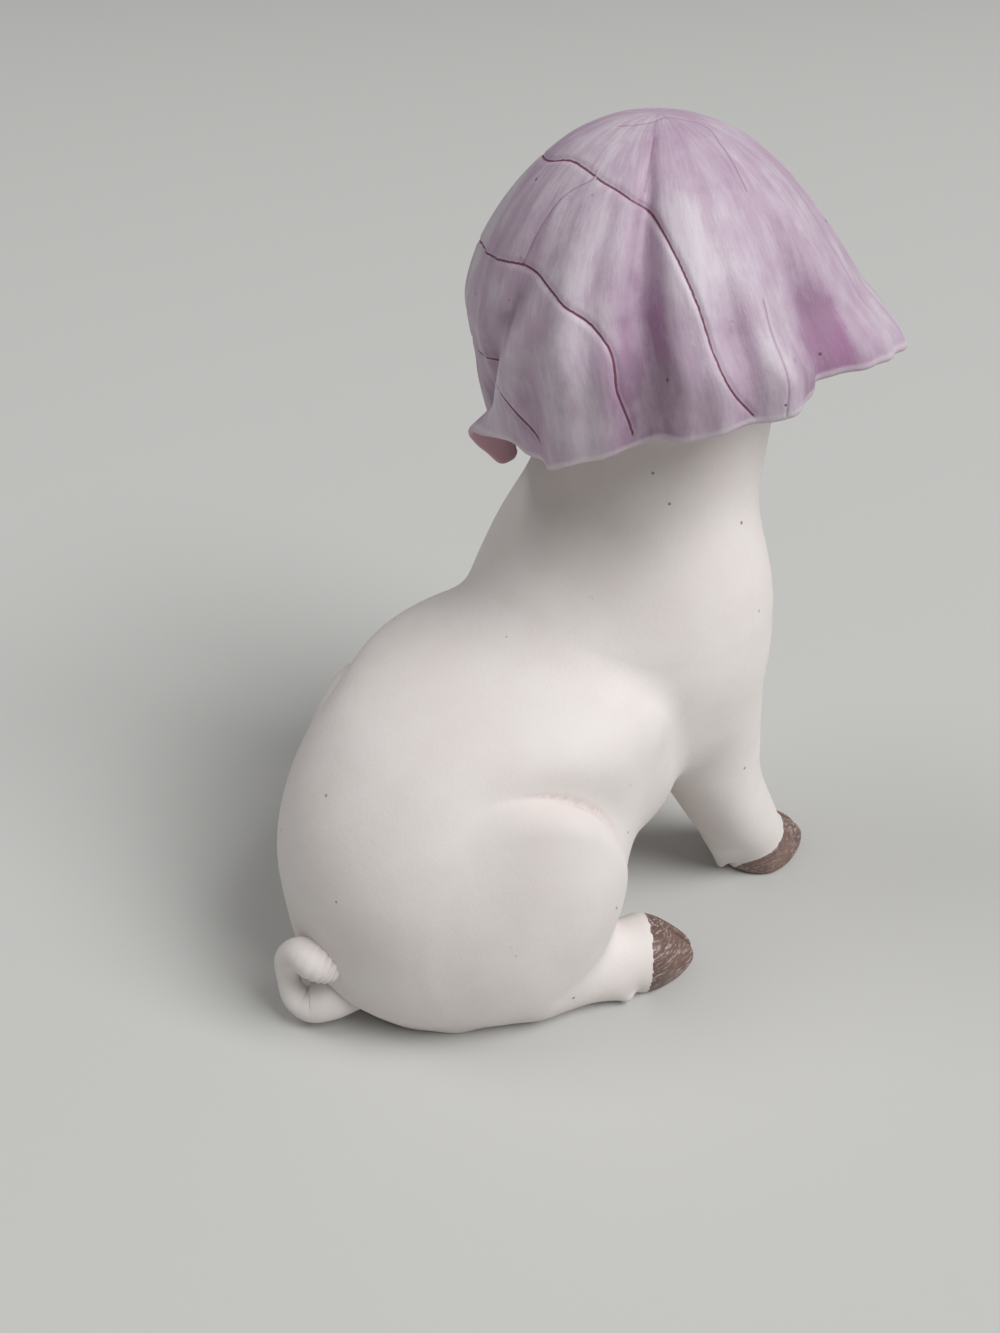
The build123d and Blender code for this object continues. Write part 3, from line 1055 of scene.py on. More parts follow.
@dataclass(frozen=True)
class Flute:
    """Place where the rim turns outwards, and is pinched in above that."""

    turn_share: float
    spread_share: float
    flare: float
    pinch: float = 0.0
    pinch_share: float = 0.80
    pinch_spread_share: float = 0.12
    flare_power: float = 5.0

    def reach(self, turn: np.ndarray, grown: np.ndarray) -> np.ndarray:
        """Finds how far the rim is bent out.

        Args:
            turn: Places round the leaf, as shares of the turn.
            grown: Places down the leaf, as shares of the way to the rim.

        Returns:
            Outward reach at each place, in millimetres.
        """
        waist = np.exp(-(((grown - self.pinch_share) / self.pinch_spread_share) ** 2))
        bend = self.flare * grown**self.flare_power - self.pinch * waist
        return bend * np.exp(-((turn_off(turn, self.turn_share) / self.spread_share) ** 2))


@dataclass(frozen=True)
class LeafHat:
    """Leaf draped over the head: a folded bell with veins and a rim that rises to the front."""

    top: float
    seat: float
    high: float = 96.0
    radius: float = 57.0
    crown_at: Pair = (0.0, -46.0)
    lean: Pair = (-6.0, -8.0)
    # Radius share and drop share down the side
    profile_shares: PairShares = (
        (0.00, 0.000), (0.16, 0.008), (0.36, 0.048), (0.565, 0.135), (0.745, 0.26),
        (0.90, 0.42), (1.00, 0.57), (0.985, 0.72), (0.94, 0.85), (0.88, 1.00),
    )
    # Drop share and share of the lean
    lean_shares: PairShares = (
        (0.0, 0.0), (0.135, 0.1), (0.26, 0.2), (0.42, 0.4), (0.57, 0.8), (0.72, 1.0), (1.0, 1.0),
    )
    # Turn share and drop share of the rim
    rim_shares: PairShares = (
        (0.000, 0.70), (0.055, 0.83), (0.083, 0.906), (0.117, 0.97), (0.139, 0.99), (0.161, 0.974),
        (0.172, 0.911), (0.183, 0.844), (0.194, 0.812), (0.217, 0.823), (0.239, 0.854), (0.261, 0.862),
        (0.286, 0.82), (0.314, 0.78), (0.358, 0.72), (0.386, 0.69), (0.418, 0.655), (0.434, 0.650),
        (0.450, 0.635), (0.470, 0.618), (0.495, 0.604), (0.530, 0.588), (0.570, 0.580), (0.606, 0.585),
        (0.667, 0.56), (0.750, 0.53), (0.833, 0.56), (0.917, 0.61), (1.000, 0.70),
    )
    folds: tuple[Fold, ...] = (
        Fold(0.361, 0.345, 0.020, -0.110, -0.08),
        Fold(0.240, 0.252, 0.014, -0.020, 0.10),
        Fold(0.310, 0.185, 0.018, 0.065, 0.30),
        Fold(0.322, 0.130, 0.016, -0.060, 0.30),
        Fold(0.295, 0.290, 0.024, 0.050),
        Fold(0.405, 0.395, 0.024, 0.045),
        Fold(0.430, 0.424, 0.010, -0.030, 0.25),
        Fold(0.452, 0.445, 0.016, 0.055, 0.20),
        Fold(0.515, 0.500, 0.026, -0.130, 0.20),
        Fold(0.740, 0.740, 0.040, -0.070),
        Fold(0.690, 0.690, 0.025, 0.040),
        Fold(0.830, 0.830, 0.035, 0.050),
        Fold(0.915, 0.915, 0.035, -0.070),
        Fold(0.030, 0.030, 0.045, 0.040),
        Fold(0.105, 0.105, 0.030, 0.045),
    )
    flutes: tuple[Flute, ...] = (
        Flute(turn_share=0.606, spread_share=0.060, flare=5.0),
        Flute(
            turn_share=0.186,
            spread_share=0.020,
            flare=7.0,
            pinch=3.0,
            pinch_share=0.90,
            pinch_spread_share=0.07,
            flare_power=12.0,
        ),
    )
    ripple_share: float = 0.007
    ripple_counts: tuple[int, ...] = (13, 22, 37)
    ripple_drift: float = 5.0
    wall: float = 2.5
    rim_angles: tuple[float, ...] = (45.0, 90.0, 135.0)
    boss_radius: float = 16.0
    # Turn share and drop share of the points along each vein
    vein_shares: tuple[PairShares, ...] = (
        ((-0.07, 0.20), (0.04, 0.14), (0.16, 0.115), (0.225, 0.094), (0.29, 0.115), (0.345, 0.156),
         (0.38, 0.23), (0.40, 0.365), (0.408, 0.54), (0.425, 0.64)),
        ((-0.07, 0.42), (0.05, 0.38), (0.175, 0.354), (0.242, 0.333), (0.295, 0.385), (0.328, 0.47),
         (0.33, 0.594), (0.336, 0.72)),
        ((0.12, 0.63), (0.16, 0.645), (0.20, 0.625), (0.224, 0.665), (0.241, 0.75), (0.257, 0.85),
         (0.268, 0.94)),
        ((-0.07, 0.03), (-0.07, 0.20), (-0.07, 0.42), (-0.07, 0.62)),
        ((-0.07, 0.16), (-0.18, 0.20), (-0.29, 0.28), (-0.36, 0.42), (-0.39, 0.56)),
        ((-0.07, 0.36), (-0.15, 0.40), (-0.22, 0.50), (-0.25, 0.53)),
    )
    # The same for the fainter creases
    crease_shares: tuple[PairShares, ...] = (
        ((0.285, 0.115), (0.255, 0.16), (0.242, 0.23), (0.236, 0.33)),
        ((0.455, 0.36), (0.452, 0.44), (0.450, 0.53), (0.446, 0.64)),
        ((0.362, 0.03), (0.358, 0.08), (0.354, 0.14)),
        ((0.233, 0.02), (0.40, 0.004), (0.53, 0.012), (0.505, 0.05), (0.492, 0.10), (0.486, 0.145)),
    )
    crease_share: float = 0.4
    vein_width: float = 0.7
    vein_deep: float = 0.55
    vein_lip: float = 0.05
    vein_lip_share: float = 2.2
    vein_room: float = 2.6
    vein_far: float = 26.0
    vein_steps: int = 30
    lip_rows: int = 2
    lip_inner_share: float = 0.3
    around_count: int = 600
    down_count: int = 124
    inner_count: int = 18
    fine_count: int = 600

    def profile(self) -> tuple[np.ndarray, np.ndarray, np.ndarray]:
        """Finds the side of the plain bell.

        Returns:
            Length down the side, radius and drop share, finely spaced.
        """
        shares = np.array(self.profile_shares)
        leg = np.hypot(np.diff(shares[:, 0]) * self.radius, np.diff(shares[:, 1]) * self.high)
        length = np.concatenate([[0], np.cumsum(leg)])
        fine = np.linspace(0, length[-1], self.fine_count)
        reach = smooth_table(fine, length, shares[:, 0]) * self.radius
        return fine, reach, smooth_table(fine, length, shares[:, 1])

    def fold(self, turn: np.ndarray, drop: np.ndarray) -> np.ndarray:
        """Outward reach of all folds at places of the turn and of the drop."""
        return sum(each.reach(turn, drop) for each in self.folds)

    def place(self, turn: np.ndarray, reach: np.ndarray, drop: np.ndarray) -> np.ndarray:
        """Places points on the outer face.

        Args:
            turn: Shares of the turn.
            reach: Radii of the plain bell.
            drop: Shares of the height.

        Returns:
            The points.
        """
        fold = self.fold(turn, drop)
        rim = smooth_table(turn % 1.0, *np.array(self.rim_shares).T)
        grown = np.clip(drop / rim, 0, 1)
        for count in self.ripple_counts:
            phase = FULL_TURN * count * turn + count + self.ripple_drift * drop
            fold = fold + self.ripple_share * grown * np.sin(phase)
        out = reach * (1 + fold)
        out = out + sum(flute.reach(turn, grown) for flute in self.flutes)
        lean = smooth_table(drop, *np.array(self.lean_shares).T)
        across = self.crown_at[0] + lean * self.lean[0] + out * np.cos(FULL_TURN * turn)
        along = self.crown_at[1] + lean * self.lean[1] + out * np.sin(FULL_TURN * turn)
        return np.stack([across, along, self.top - drop * self.high], axis=-1)

    def outer(self) -> tuple[np.ndarray, np.ndarray, np.ndarray]:
        """Makes the outer face.

        Returns:
            Rows of points from the crown to the rim, with their shares of the turn and lengths.
        """
        fine, reach, drop = self.profile()
        turn = np.arange(self.around_count) / self.around_count
        rim = smooth_table(turn, *np.array(self.rim_shares).T)
        full = np.interp(rim, drop, fine)
        down = np.linspace(0, 1, self.down_count + 1)[1:, None]
        length = down * full
        turns = np.broadcast_to(turn, length.shape)
        grid = self.place(turns, np.interp(length, fine, reach), np.interp(length, fine, drop))
        return grid, turns, length

    def veins(self, points: np.ndarray) -> tuple[np.ndarray, np.ndarray]:
        """Measures how far points lie from the nearest vein, along the leaf.

        Args:
            points: Rows of points of the outer face.

        Returns:
            The distance, with its sign telling the side, and a mask that is one beside a vein.
        """
        _, reach, drop = self.profile()
        centre = np.array([*self.crown_at, self.top - self.high / 2])
        ray = points - centre
        far = np.linalg.norm(ray, axis=-1)
        ray = ray / far[..., None]
        nearest = np.full(far.shape, self.vein_far)
        beside = np.zeros(far.shape)
        strengths = [1.0] * len(self.vein_shares) + [self.crease_share] * len(self.crease_shares)
        for shares, strength in zip(self.vein_shares + self.crease_shares, strengths):
            knots = smooth_path(shares, self.vein_steps * len(shares))
            line = self.place(knots[:, 0], np.interp(knots[:, 1], drop, reach), knots[:, 1])
            way = (line - centre) / np.linalg.norm(line - centre, axis=-1)[:, None]
            edge = np.cross(way, np.gradient(way, axis=0))
            edge /= np.linalg.norm(edge, axis=-1)[:, None]
            for row in range(len(ray)):
                spot = np.argmax(ray[row] @ way.T, axis=1)
                off = np.linalg.norm(ray[row] - way[spot], axis=-1) * far[row]
                side = np.sign(((ray[row] - way[spot]) * edge[spot]).sum(axis=-1))
                closer = off < np.abs(nearest[row])
                nearest[row] = np.where(closer, side * off, nearest[row])
                ends = (spot > 0) & (spot < len(way) - 1) & (off < self.vein_room)
                beside[row] = np.where(closer, strength * ends, beside[row])
        return nearest, beside

    @staticmethod
    def grid_normals(grid: np.ndarray) -> np.ndarray:
        """Finds the outward normals of rows that close round the turn.

        Args:
            grid: The rows of points.

        Returns:
            A normal for each point.
        """
        around = np.roll(grid, -1, axis=1) - np.roll(grid, 1, axis=1)
        down = np.gradient(grid, axis=0)
        normal = np.cross(down, around)
        return normal / np.maximum(np.linalg.norm(normal, axis=-1), TINY)[..., None]

    def relief(self, vein: np.ndarray, beside: np.ndarray) -> np.ndarray:
        """Shapes the face beside the veins: a groove between two low lips.

        Args:
            vein: Distance of each point from its vein.
            beside: Mask that is one beside a vein.

        Returns:
            Outward height of each point.
        """
        width = np.abs(vein) / self.vein_width
        groove = np.exp(-(width**2))
        lip = np.exp(-((width - self.vein_lip_share) ** 2))
        return beside * (self.vein_lip * lip - self.vein_deep * groove)

    def lining(self, grid: np.ndarray, edge: np.ndarray, normals: np.ndarray) -> np.ndarray:
        """Makes the rounded rim, the inner face and the boss that stands on the head.

        Args:
            grid: Rows of the outer face, without its veins.
            edge: Last row of the outer face with its veins.
            normals: Normals of the outer face.

        Returns:
            Rows of points from the rim to the foot of the boss.
        """
        rim = edge - normals[-1] * self.wall / 2
        tangent = grid[-1] - grid[-2]
        tangent /= np.linalg.norm(tangent, axis=-1)[:, None]
        rows = []
        for angle in np.radians(self.rim_angles):
            rows.append(rim + self.wall / 2 * (tangent * math.sin(angle) + normals[-1] * math.cos(angle)))
        radii = np.linalg.norm(grid[..., :2] - np.array(self.crown_at), axis=-1)
        first = int(np.argmax(radii.min(axis=1) > self.boss_radius))
        chosen = np.linspace(self.down_count - 1, first, self.inner_count).astype(int)
        rows += [grid[row] - self.wall * normals[row] for row in chosen]
        foot = rows[-1].copy()
        foot[:, 2] = self.seat
        return np.stack(rows + [foot])

    def build(self) -> bpy.types.Object:
        """Makes the hat with the values that its paint follows.

        Returns:
            The hat as a closed mesh.
        """
        grid, turns, length = self.outer()
        normals = self.grid_normals(grid)
        vein, beside = self.veins(grid)
        face = grid + self.relief(vein, beside)[..., None] * normals
        rows = np.concatenate([face, self.lining(grid, face[-1], normals)])
        room = ((0, len(rows) - len(face)), (0, 0))
        fold = self.fold(turns, (self.top - grid[..., 2]) / self.high)
        inner = np.pad(np.zeros(face.shape[:2]), room, constant_values=1.0)
        inner[len(face) : len(face) + self.lip_rows] = self.lip_inner_share
        angle = FULL_TURN * np.broadcast_to(turns[0], rows.shape[:2])
        values = {
            "fold": np.pad(fold, room, "edge"),
            "vein": np.pad(vein, room, "edge"),
            "beside": np.pad(beside, room),
            "length": np.pad(length, room, "edge"),
            "to_rim": np.pad(length[-1] - length, room),
            "inner": inner,
            "turn_x": np.cos(angle),
            "turn_y": np.sin(angle),
        }
        values = {
            name: np.concatenate([data.reshape(-1), [data[0].mean(), data[-1].mean()]])
            for name, data in values.items()
        }
        poles = np.array([[*self.crown_at, self.top], [*self.crown_at, self.seat]])
        points = np.concatenate([rows.reshape(-1, 3), poles])
        faces = ring_faces(len(rows), self.around_count)
        return show("hat", smooth_mesh("hat", points, faces, values))


@dataclass(frozen=True)
class NodeKit:
    """Short hand for building node trees."""

    tree: bpy.types.NodeTree

    def feed(self, node: bpy.types.Node, feeds: Feeds) -> None:
        """Fills the input sockets of a node.

        Args:
            node: The node.
            feeds: Another socket or a constant for each input, by its name or number.
        """
        for name, value in feeds.items():
            if isinstance(value, Socket):
                self.tree.links.new(value, node.inputs[name])
            else:
                node.inputs[name].default_value = value

    def add(self, kind: str, feeds: Feeds | None = None, **settings: object) -> bpy.types.Node:
        """Adds a node.

        Args:
            kind: Type of the node.
            feeds: What goes into its inputs.
            settings: Its properties.

        Returns:
            The node.
        """
        node = self.tree.nodes.new(kind)
        for name, value in settings.items():
            setattr(node, name, value)
        self.feed(node, feeds or {})
        return node

    def mix(self, amount: Socket, first: Socket | Colour, second: Socket | Colour) -> Socket:
        """Mixes two colours.

        Args:
            amount: Share of the second colour.
            first: A socket or a constant.
            second: A socket or a constant.

        Returns:
            The mixed colour.
        """
        start, end = ((*one, 1.0) if isinstance(one, tuple) else one for one in (first, second))
        feeds = {MIX_AMOUNT: amount, MIX_FIRST: start, MIX_SECOND: end}
        return self.add("ShaderNodeMix", feeds, data_type="RGBA").outputs[MIX_RESULT]

    def math(self, way: str, first: Socket, second: Socket | float = 0.0) -> Socket:
        """Arithmetic on two values."""
        return self.add("ShaderNodeMath", {0: first, 1: second}, operation=way).outputs["Value"]

    def total(self, parts: Sequence[tuple[Socket, float]]) -> Socket:
        """Adds values up.

        Args:
            parts: Each value with its weight.

        Returns:
            The sum.
        """
        result, *others = [self.math("MULTIPLY", value, weight) for value, weight in parts]
        for other in others:
            result = self.math("ADD", result, other)
        return result

    def value(self, name: str) -> Socket:
        """Value painted on the mesh under a name."""
        return self.add("ShaderNodeAttribute", attribute_name=name).outputs["Fac"]

    def bump(self, height: Socket, strength: float, distance: float) -> Socket:
        """Normal that is disturbed by a height value."""
        feeds = {"Height": height, "Strength": strength, "Distance": distance}
        return self.add("ShaderNodeBump", feeds).outputs["Normal"]

    def shared(self, tree: bpy.types.NodeTree, vector: Socket) -> bpy.types.NodeOutputs:
        """Outputs of a shared group that is fed with a vector."""
        return self.add("ShaderNodeGroup", {"Vector": vector}, node_tree=tree).outputs


def bake_nodes(
    carrier: bpy.types.Object, tree: bpy.types.NodeTree, values: dict[str, object], name: str
) -> bpy.types.Object:
    """Runs a Geometry Nodes group on a carrier and keeps the result as a plain mesh object.

    Args:
        carrier: Object that the group reads; it is removed.
        tree: The group.
        values: Inputs by their names.
        name: Name of the new object.

    Returns:
        The new object.
    """
    modifier = carrier.modifiers.new(name, "NODES")
    modifier.node_group = tree
    for item in tree.interface.items_tree:
        if item.item_type == "SOCKET" and item.in_out == "INPUT" and item.name in values:
            modifier[item.identifier] = values[item.name]
    bpy.context.view_layer.update()
    graph = bpy.context.evaluated_depsgraph_get()
    mesh = bpy.data.meshes.new_from_object(carrier.evaluated_get(graph), depsgraph=graph)
    carrier.modifiers.remove(modifier)
    bpy.data.objects.remove(carrier)
    mesh.name = name
    return show(name, mesh)


@dataclass(frozen=True)
class CurlTail:
    """Curled tail swept along its route by a Geometry Nodes group."""

    at: Point = (2.0, 80.5, 0.0)
    heading: float = 230.0
    wide: float = 20.0
    tall: float = 32.0
    near: float = 6.0
    thick: float = 4.8
    # Right of wide, rise of tall, nearness of near and radius of thick along the curl
    route_shares: RowShares = (
        (1.05, 0.38, -1.20, 1.45),
        (0.62, 0.33, -0.50, 1.45),
        (0.32, 0.30, 0.00, 1.42),
        (0.04, 0.25, 0.10, 1.22),
        (-0.19, 0.32, 0.00, 0.88),
        (-0.28, 0.54, -0.10, 0.70),
        (-0.24, 0.78, 0.00, 0.86),
        (-0.05, 0.92, 0.40, 1.02),
        (0.16, 0.92, 0.90, 1.12),
        (0.35, 0.86, 0.95, 1.02),
        (0.49, 0.80, 0.85, 0.70),
    )
    wrinkle_share: float = 0.09
    wrinkle_count: float = 24.0
    wrinkle_start: float = 0.74
    steps: int = 180
    round_count: int = 32

    def route(self) -> np.ndarray:
        """Finds the tail's middle line.

        Returns:
            Its points and radii, from inside the rump to the tip.
        """
        angle = math.radians(self.heading)
        right = np.array([math.cos(angle), math.sin(angle), 0.0])
        toward = np.array([right[1], -right[0], 0.0])
        share = smooth_path(self.route_shares, self.steps)
        place = np.array(self.at) + share[:, :1] * self.wide * right + share[:, 2:3] * self.near * toward
        place[:, 2] += share[:, 1] * self.tall
        along = np.linspace(0, 1, self.steps)
        wrinkle = np.sin(FULL_TURN * self.wrinkle_count * along)
        wrinkle = smooth_step(along, self.wrinkle_start, 1.0) * wrinkle
        radius = share[:, 3] * self.thick * (1 + self.wrinkle_share * wrinkle)
        return np.concatenate([place, radius[:, None]], axis=1)

    @staticmethod
    def group() -> bpy.types.NodeTree:
        """Makes the Geometry Nodes group that turns a curve into a tapered tail.

        Returns:
            The group.
        """
        tree = bpy.data.node_groups.new("tapered_tail", "GeometryNodeTree")
        for label, kind, way in (
            ("Geometry", "NodeSocketGeometry", "INPUT"),
            ("Thickness", "NodeSocketFloat", "INPUT"),
            ("Round Count", "NodeSocketInt", "INPUT"),
            ("Material", "NodeSocketMaterial", "INPUT"),
            ("Geometry", "NodeSocketGeometry", "OUTPUT"),
        ):
            tree.interface.new_socket(label, in_out=way, socket_type=kind)
        kit = NodeKit(tree)
        inputs = kit.add("NodeGroupInput").outputs
        radius = kit.add("GeometryNodeInputRadius").outputs["Radius"]
        ring_feeds = {"Resolution": inputs["Round Count"], "Radius": 1.0}
        ring = kit.add("GeometryNodeCurvePrimitiveCircle", ring_feeds)
        sweep_feeds = {
            "Curve": inputs["Geometry"],
            "Profile Curve": ring.outputs["Curve"],
            "Scale": kit.math("MULTIPLY", radius, inputs["Thickness"]),
            "Fill Caps": True,
        }
        shape = kit.add("GeometryNodeCurveToMesh", sweep_feeds).outputs["Mesh"]
        for kind in ("GeometryNodeSetShadeSmooth", "GeometryNodeRealizeInstances"):
            shape = kit.add(kind, {"Geometry": shape}).outputs["Geometry"]
        paint = kit.add("GeometryNodeSetMaterial", {"Geometry": shape, "Material": inputs["Material"]})
        kit.add("NodeGroupOutput", {"Geometry": paint.outputs["Geometry"]})
        return tree

    def build(self, material: bpy.types.Material) -> bpy.types.Object:
        """Makes the tail.

        Args:
            material: Its paint.

        Returns:
            The tail as a plain mesh.
        """
        curve = bpy.data.curves.new("tail_route", "CURVE")
        curve.dimensions = "3D"
        line = curve.splines.new("POLY")
        route = self.route()
        line.points.add(len(route) - 1)
        for spot, (across, along, up, radius) in zip(line.points, route):
            spot.co = (across * MM, along * MM, up * MM, 1.0)
            spot.radius = radius / self.thick
        values = {
            "Thickness": self.thick * MM,
            "Round Count": self.round_count,
            "Material": material,
        }
        return bake_nodes(show("tail_carrier", curve), self.group(), values, "tail")


@dataclass(frozen=True)
class Ramp:
    """Soft change of a value, from start where it is low to end where it is high."""

    low: float
    high: float
    start: float = 0.0
    end: float = 1.0

    def on(self, kit: NodeKit, value: Socket) -> Socket:
        """Adds the change to a tree.

        Args:
            kit: Tools of the tree.
            value: What is changed.

        Returns:
            The changed value.
        """
        feeds = {
            "Value": value,
            "From Min": self.low,
            "From Max": self.high,
            "To Min": self.start,
            "To Max": self.end,
        }
        return kit.add("ShaderNodeMapRange", feeds, interpolation_type="SMOOTHSTEP").outputs["Result"]


@dataclass(frozen=True)
class Noise:
    """Cloudy pattern: its scale per metre, detail and roughness, and the ramp that spreads its values."""

    scale: float
    detail: float
    rough: float
    ramp: Ramp

    def raw(self, kit: NodeKit, vector: Socket) -> Socket:
        """The pattern before its ramp."""
        feeds = {"Vector": vector, "Scale": self.scale, "Detail": self.detail, "Roughness": self.rough}
        return kit.add("ShaderNodeTexNoise", feeds).outputs["Fac"]

    def on(self, kit: NodeKit, vector: Socket) -> Socket:
        """The pattern after its ramp."""
        return self.ramp.on(kit, self.raw(kit, vector))


@dataclass(frozen=True)
class SharedEffects:
    """Shader groups that several finishes use."""

    mottle: bpy.types.NodeTree
    pits: bpy.types.NodeTree

    @staticmethod
    def start(name: str, outputs: Sequence[str]) -> tuple[NodeKit, Socket]:
        """Starts a group with a vector input and value outputs.

        Args:
            name: Name of the group.
            outputs: Names of its outputs.

        Returns:
            Tools of the group's tree, and its vector.
        """
        tree = bpy.data.node_groups.new(name, "ShaderNodeTree")
        tree.interface.new_socket("Vector", in_out="INPUT", socket_type="NodeSocketVector")
        for label in outputs:
            tree.interface.new_socket(label, in_out="OUTPUT", socket_type="NodeSocketFloat")
        kit = NodeKit(tree)
        return kit, kit.add("NodeGroupInput").outputs["Vector"]

    @classmethod
    def build(
        cls,
        cloud: Noise = Noise(45.0, 4.0, 0.6, Ramp(0.3, 0.7)),
        grain: Noise = Noise(900.0, 3.0, 0.6, Ramp(0.25, 0.75)),
        rare: Noise = Noise(60.0, 2.0, 0.5, Ramp(0.52, 0.59)),
        pit_scale: float = 130.0,
        pit_dot: Ramp = Ramp(0.045, 0.085, 1.0, 0.0),
    ) -> "SharedEffects":
        """Makes the groups.

        Args:
            cloud: Broad unevenness of brushed paint.
            grain: Fine unevenness of brushed paint.
            rare: Regions that have pinholes.
            pit_scale: Pinhole cells per metre.
            pit_dot: Size of a pinhole in its cell.

        Returns:
            The groups.
        """
        kit, place = cls.start("paint_mottle", ("Cloud", "Grain"))
        kit.add("NodeGroupOutput", {"Cloud": cloud.on(kit, place), "Grain": grain.on(kit, place)})
        mottle = kit.tree
        kit, place = cls.start("casting_pits", ("Mask",))
        cell = kit.add("ShaderNodeTexVoronoi", {"Vector": place, "Scale": pit_scale}, feature="F1")
        dot = pit_dot.on(kit, cell.outputs["Distance"])
        kit.add("NodeGroupOutput", {"Mask": kit.math("MULTIPLY", dot, rare.on(kit, place))})
        return cls(mottle, kit.tree)


@dataclass(frozen=True)
class Finish:
    """One procedural material."""

    slot: Slot
    effects: SharedEffects

    def build(self) -> bpy.types.Material:
        """Makes the material.

        Returns:
            The material, with the nodes of its finish.
        """
        material = bpy.data.materials.new(self.slot.value)
        material.use_nodes = True
        kit = NodeKit(material.node_tree)
        place = kit.add("ShaderNodeTexCoord").outputs["Object"]
        kit.feed(material.node_tree.nodes["Principled BSDF"], self.dress(kit, place))
        return material

    def dress(self, kit: NodeKit, place: Socket) -> Feeds:
        """What goes into the shader; each finish has its own."""
        raise NotImplementedError


@dataclass(frozen=True)
class BodyPaint(Finish):
    """Matte pinkish white paint, with a rosy washed tone and painted shade in the hollows."""

    pale: Colour = (0.770, 0.728, 0.705)
    dusk: Colour = (0.735, 0.680, 0.655)
    # Rosy tone for the hollows, which also darkens them as painted shade
    wash: Colour = (0.600, 0.480, 0.455)
    pit: Colour = (0.240, 0.180, 0.165)
    # How strongly the hollows take the rosy tone and the painted shade
    hollow: Ramp = Ramp(0.12, 0.70, 0.0, 0.55)
    roughness: float = 0.74
    bump: Pair = (0.14, 0.0002)

    def dress(self, kit: NodeKit, place: Socket) -> Feeds:
        """Paints a cloudy white, with painted shade and a rosy tone in the hollows, and darker in the
        pinholes.

        Args:
            kit: Tools of the material's tree.
            place: Object coordinates.

        Returns:
            What goes into the shader.
        """
        mottle = kit.shared(self.effects.mottle, place)
        pits = kit.shared(self.effects.pits, place)["Mask"]
        colour = kit.mix(mottle["Cloud"], self.pale, self.dusk)
        # Painted shade with a rosy tone where the crease value marks a hollow
        colour = kit.mix(self.hollow.on(kit, kit.value("crease")), colour, self.wash)
        colour = kit.mix(pits, colour, self.pit)
        normal = kit.bump(kit.math("SUBTRACT", mottle["Grain"], pits), *self.bump)
        return {"Base Color": colour, "Roughness": self.roughness, "Normal": normal}


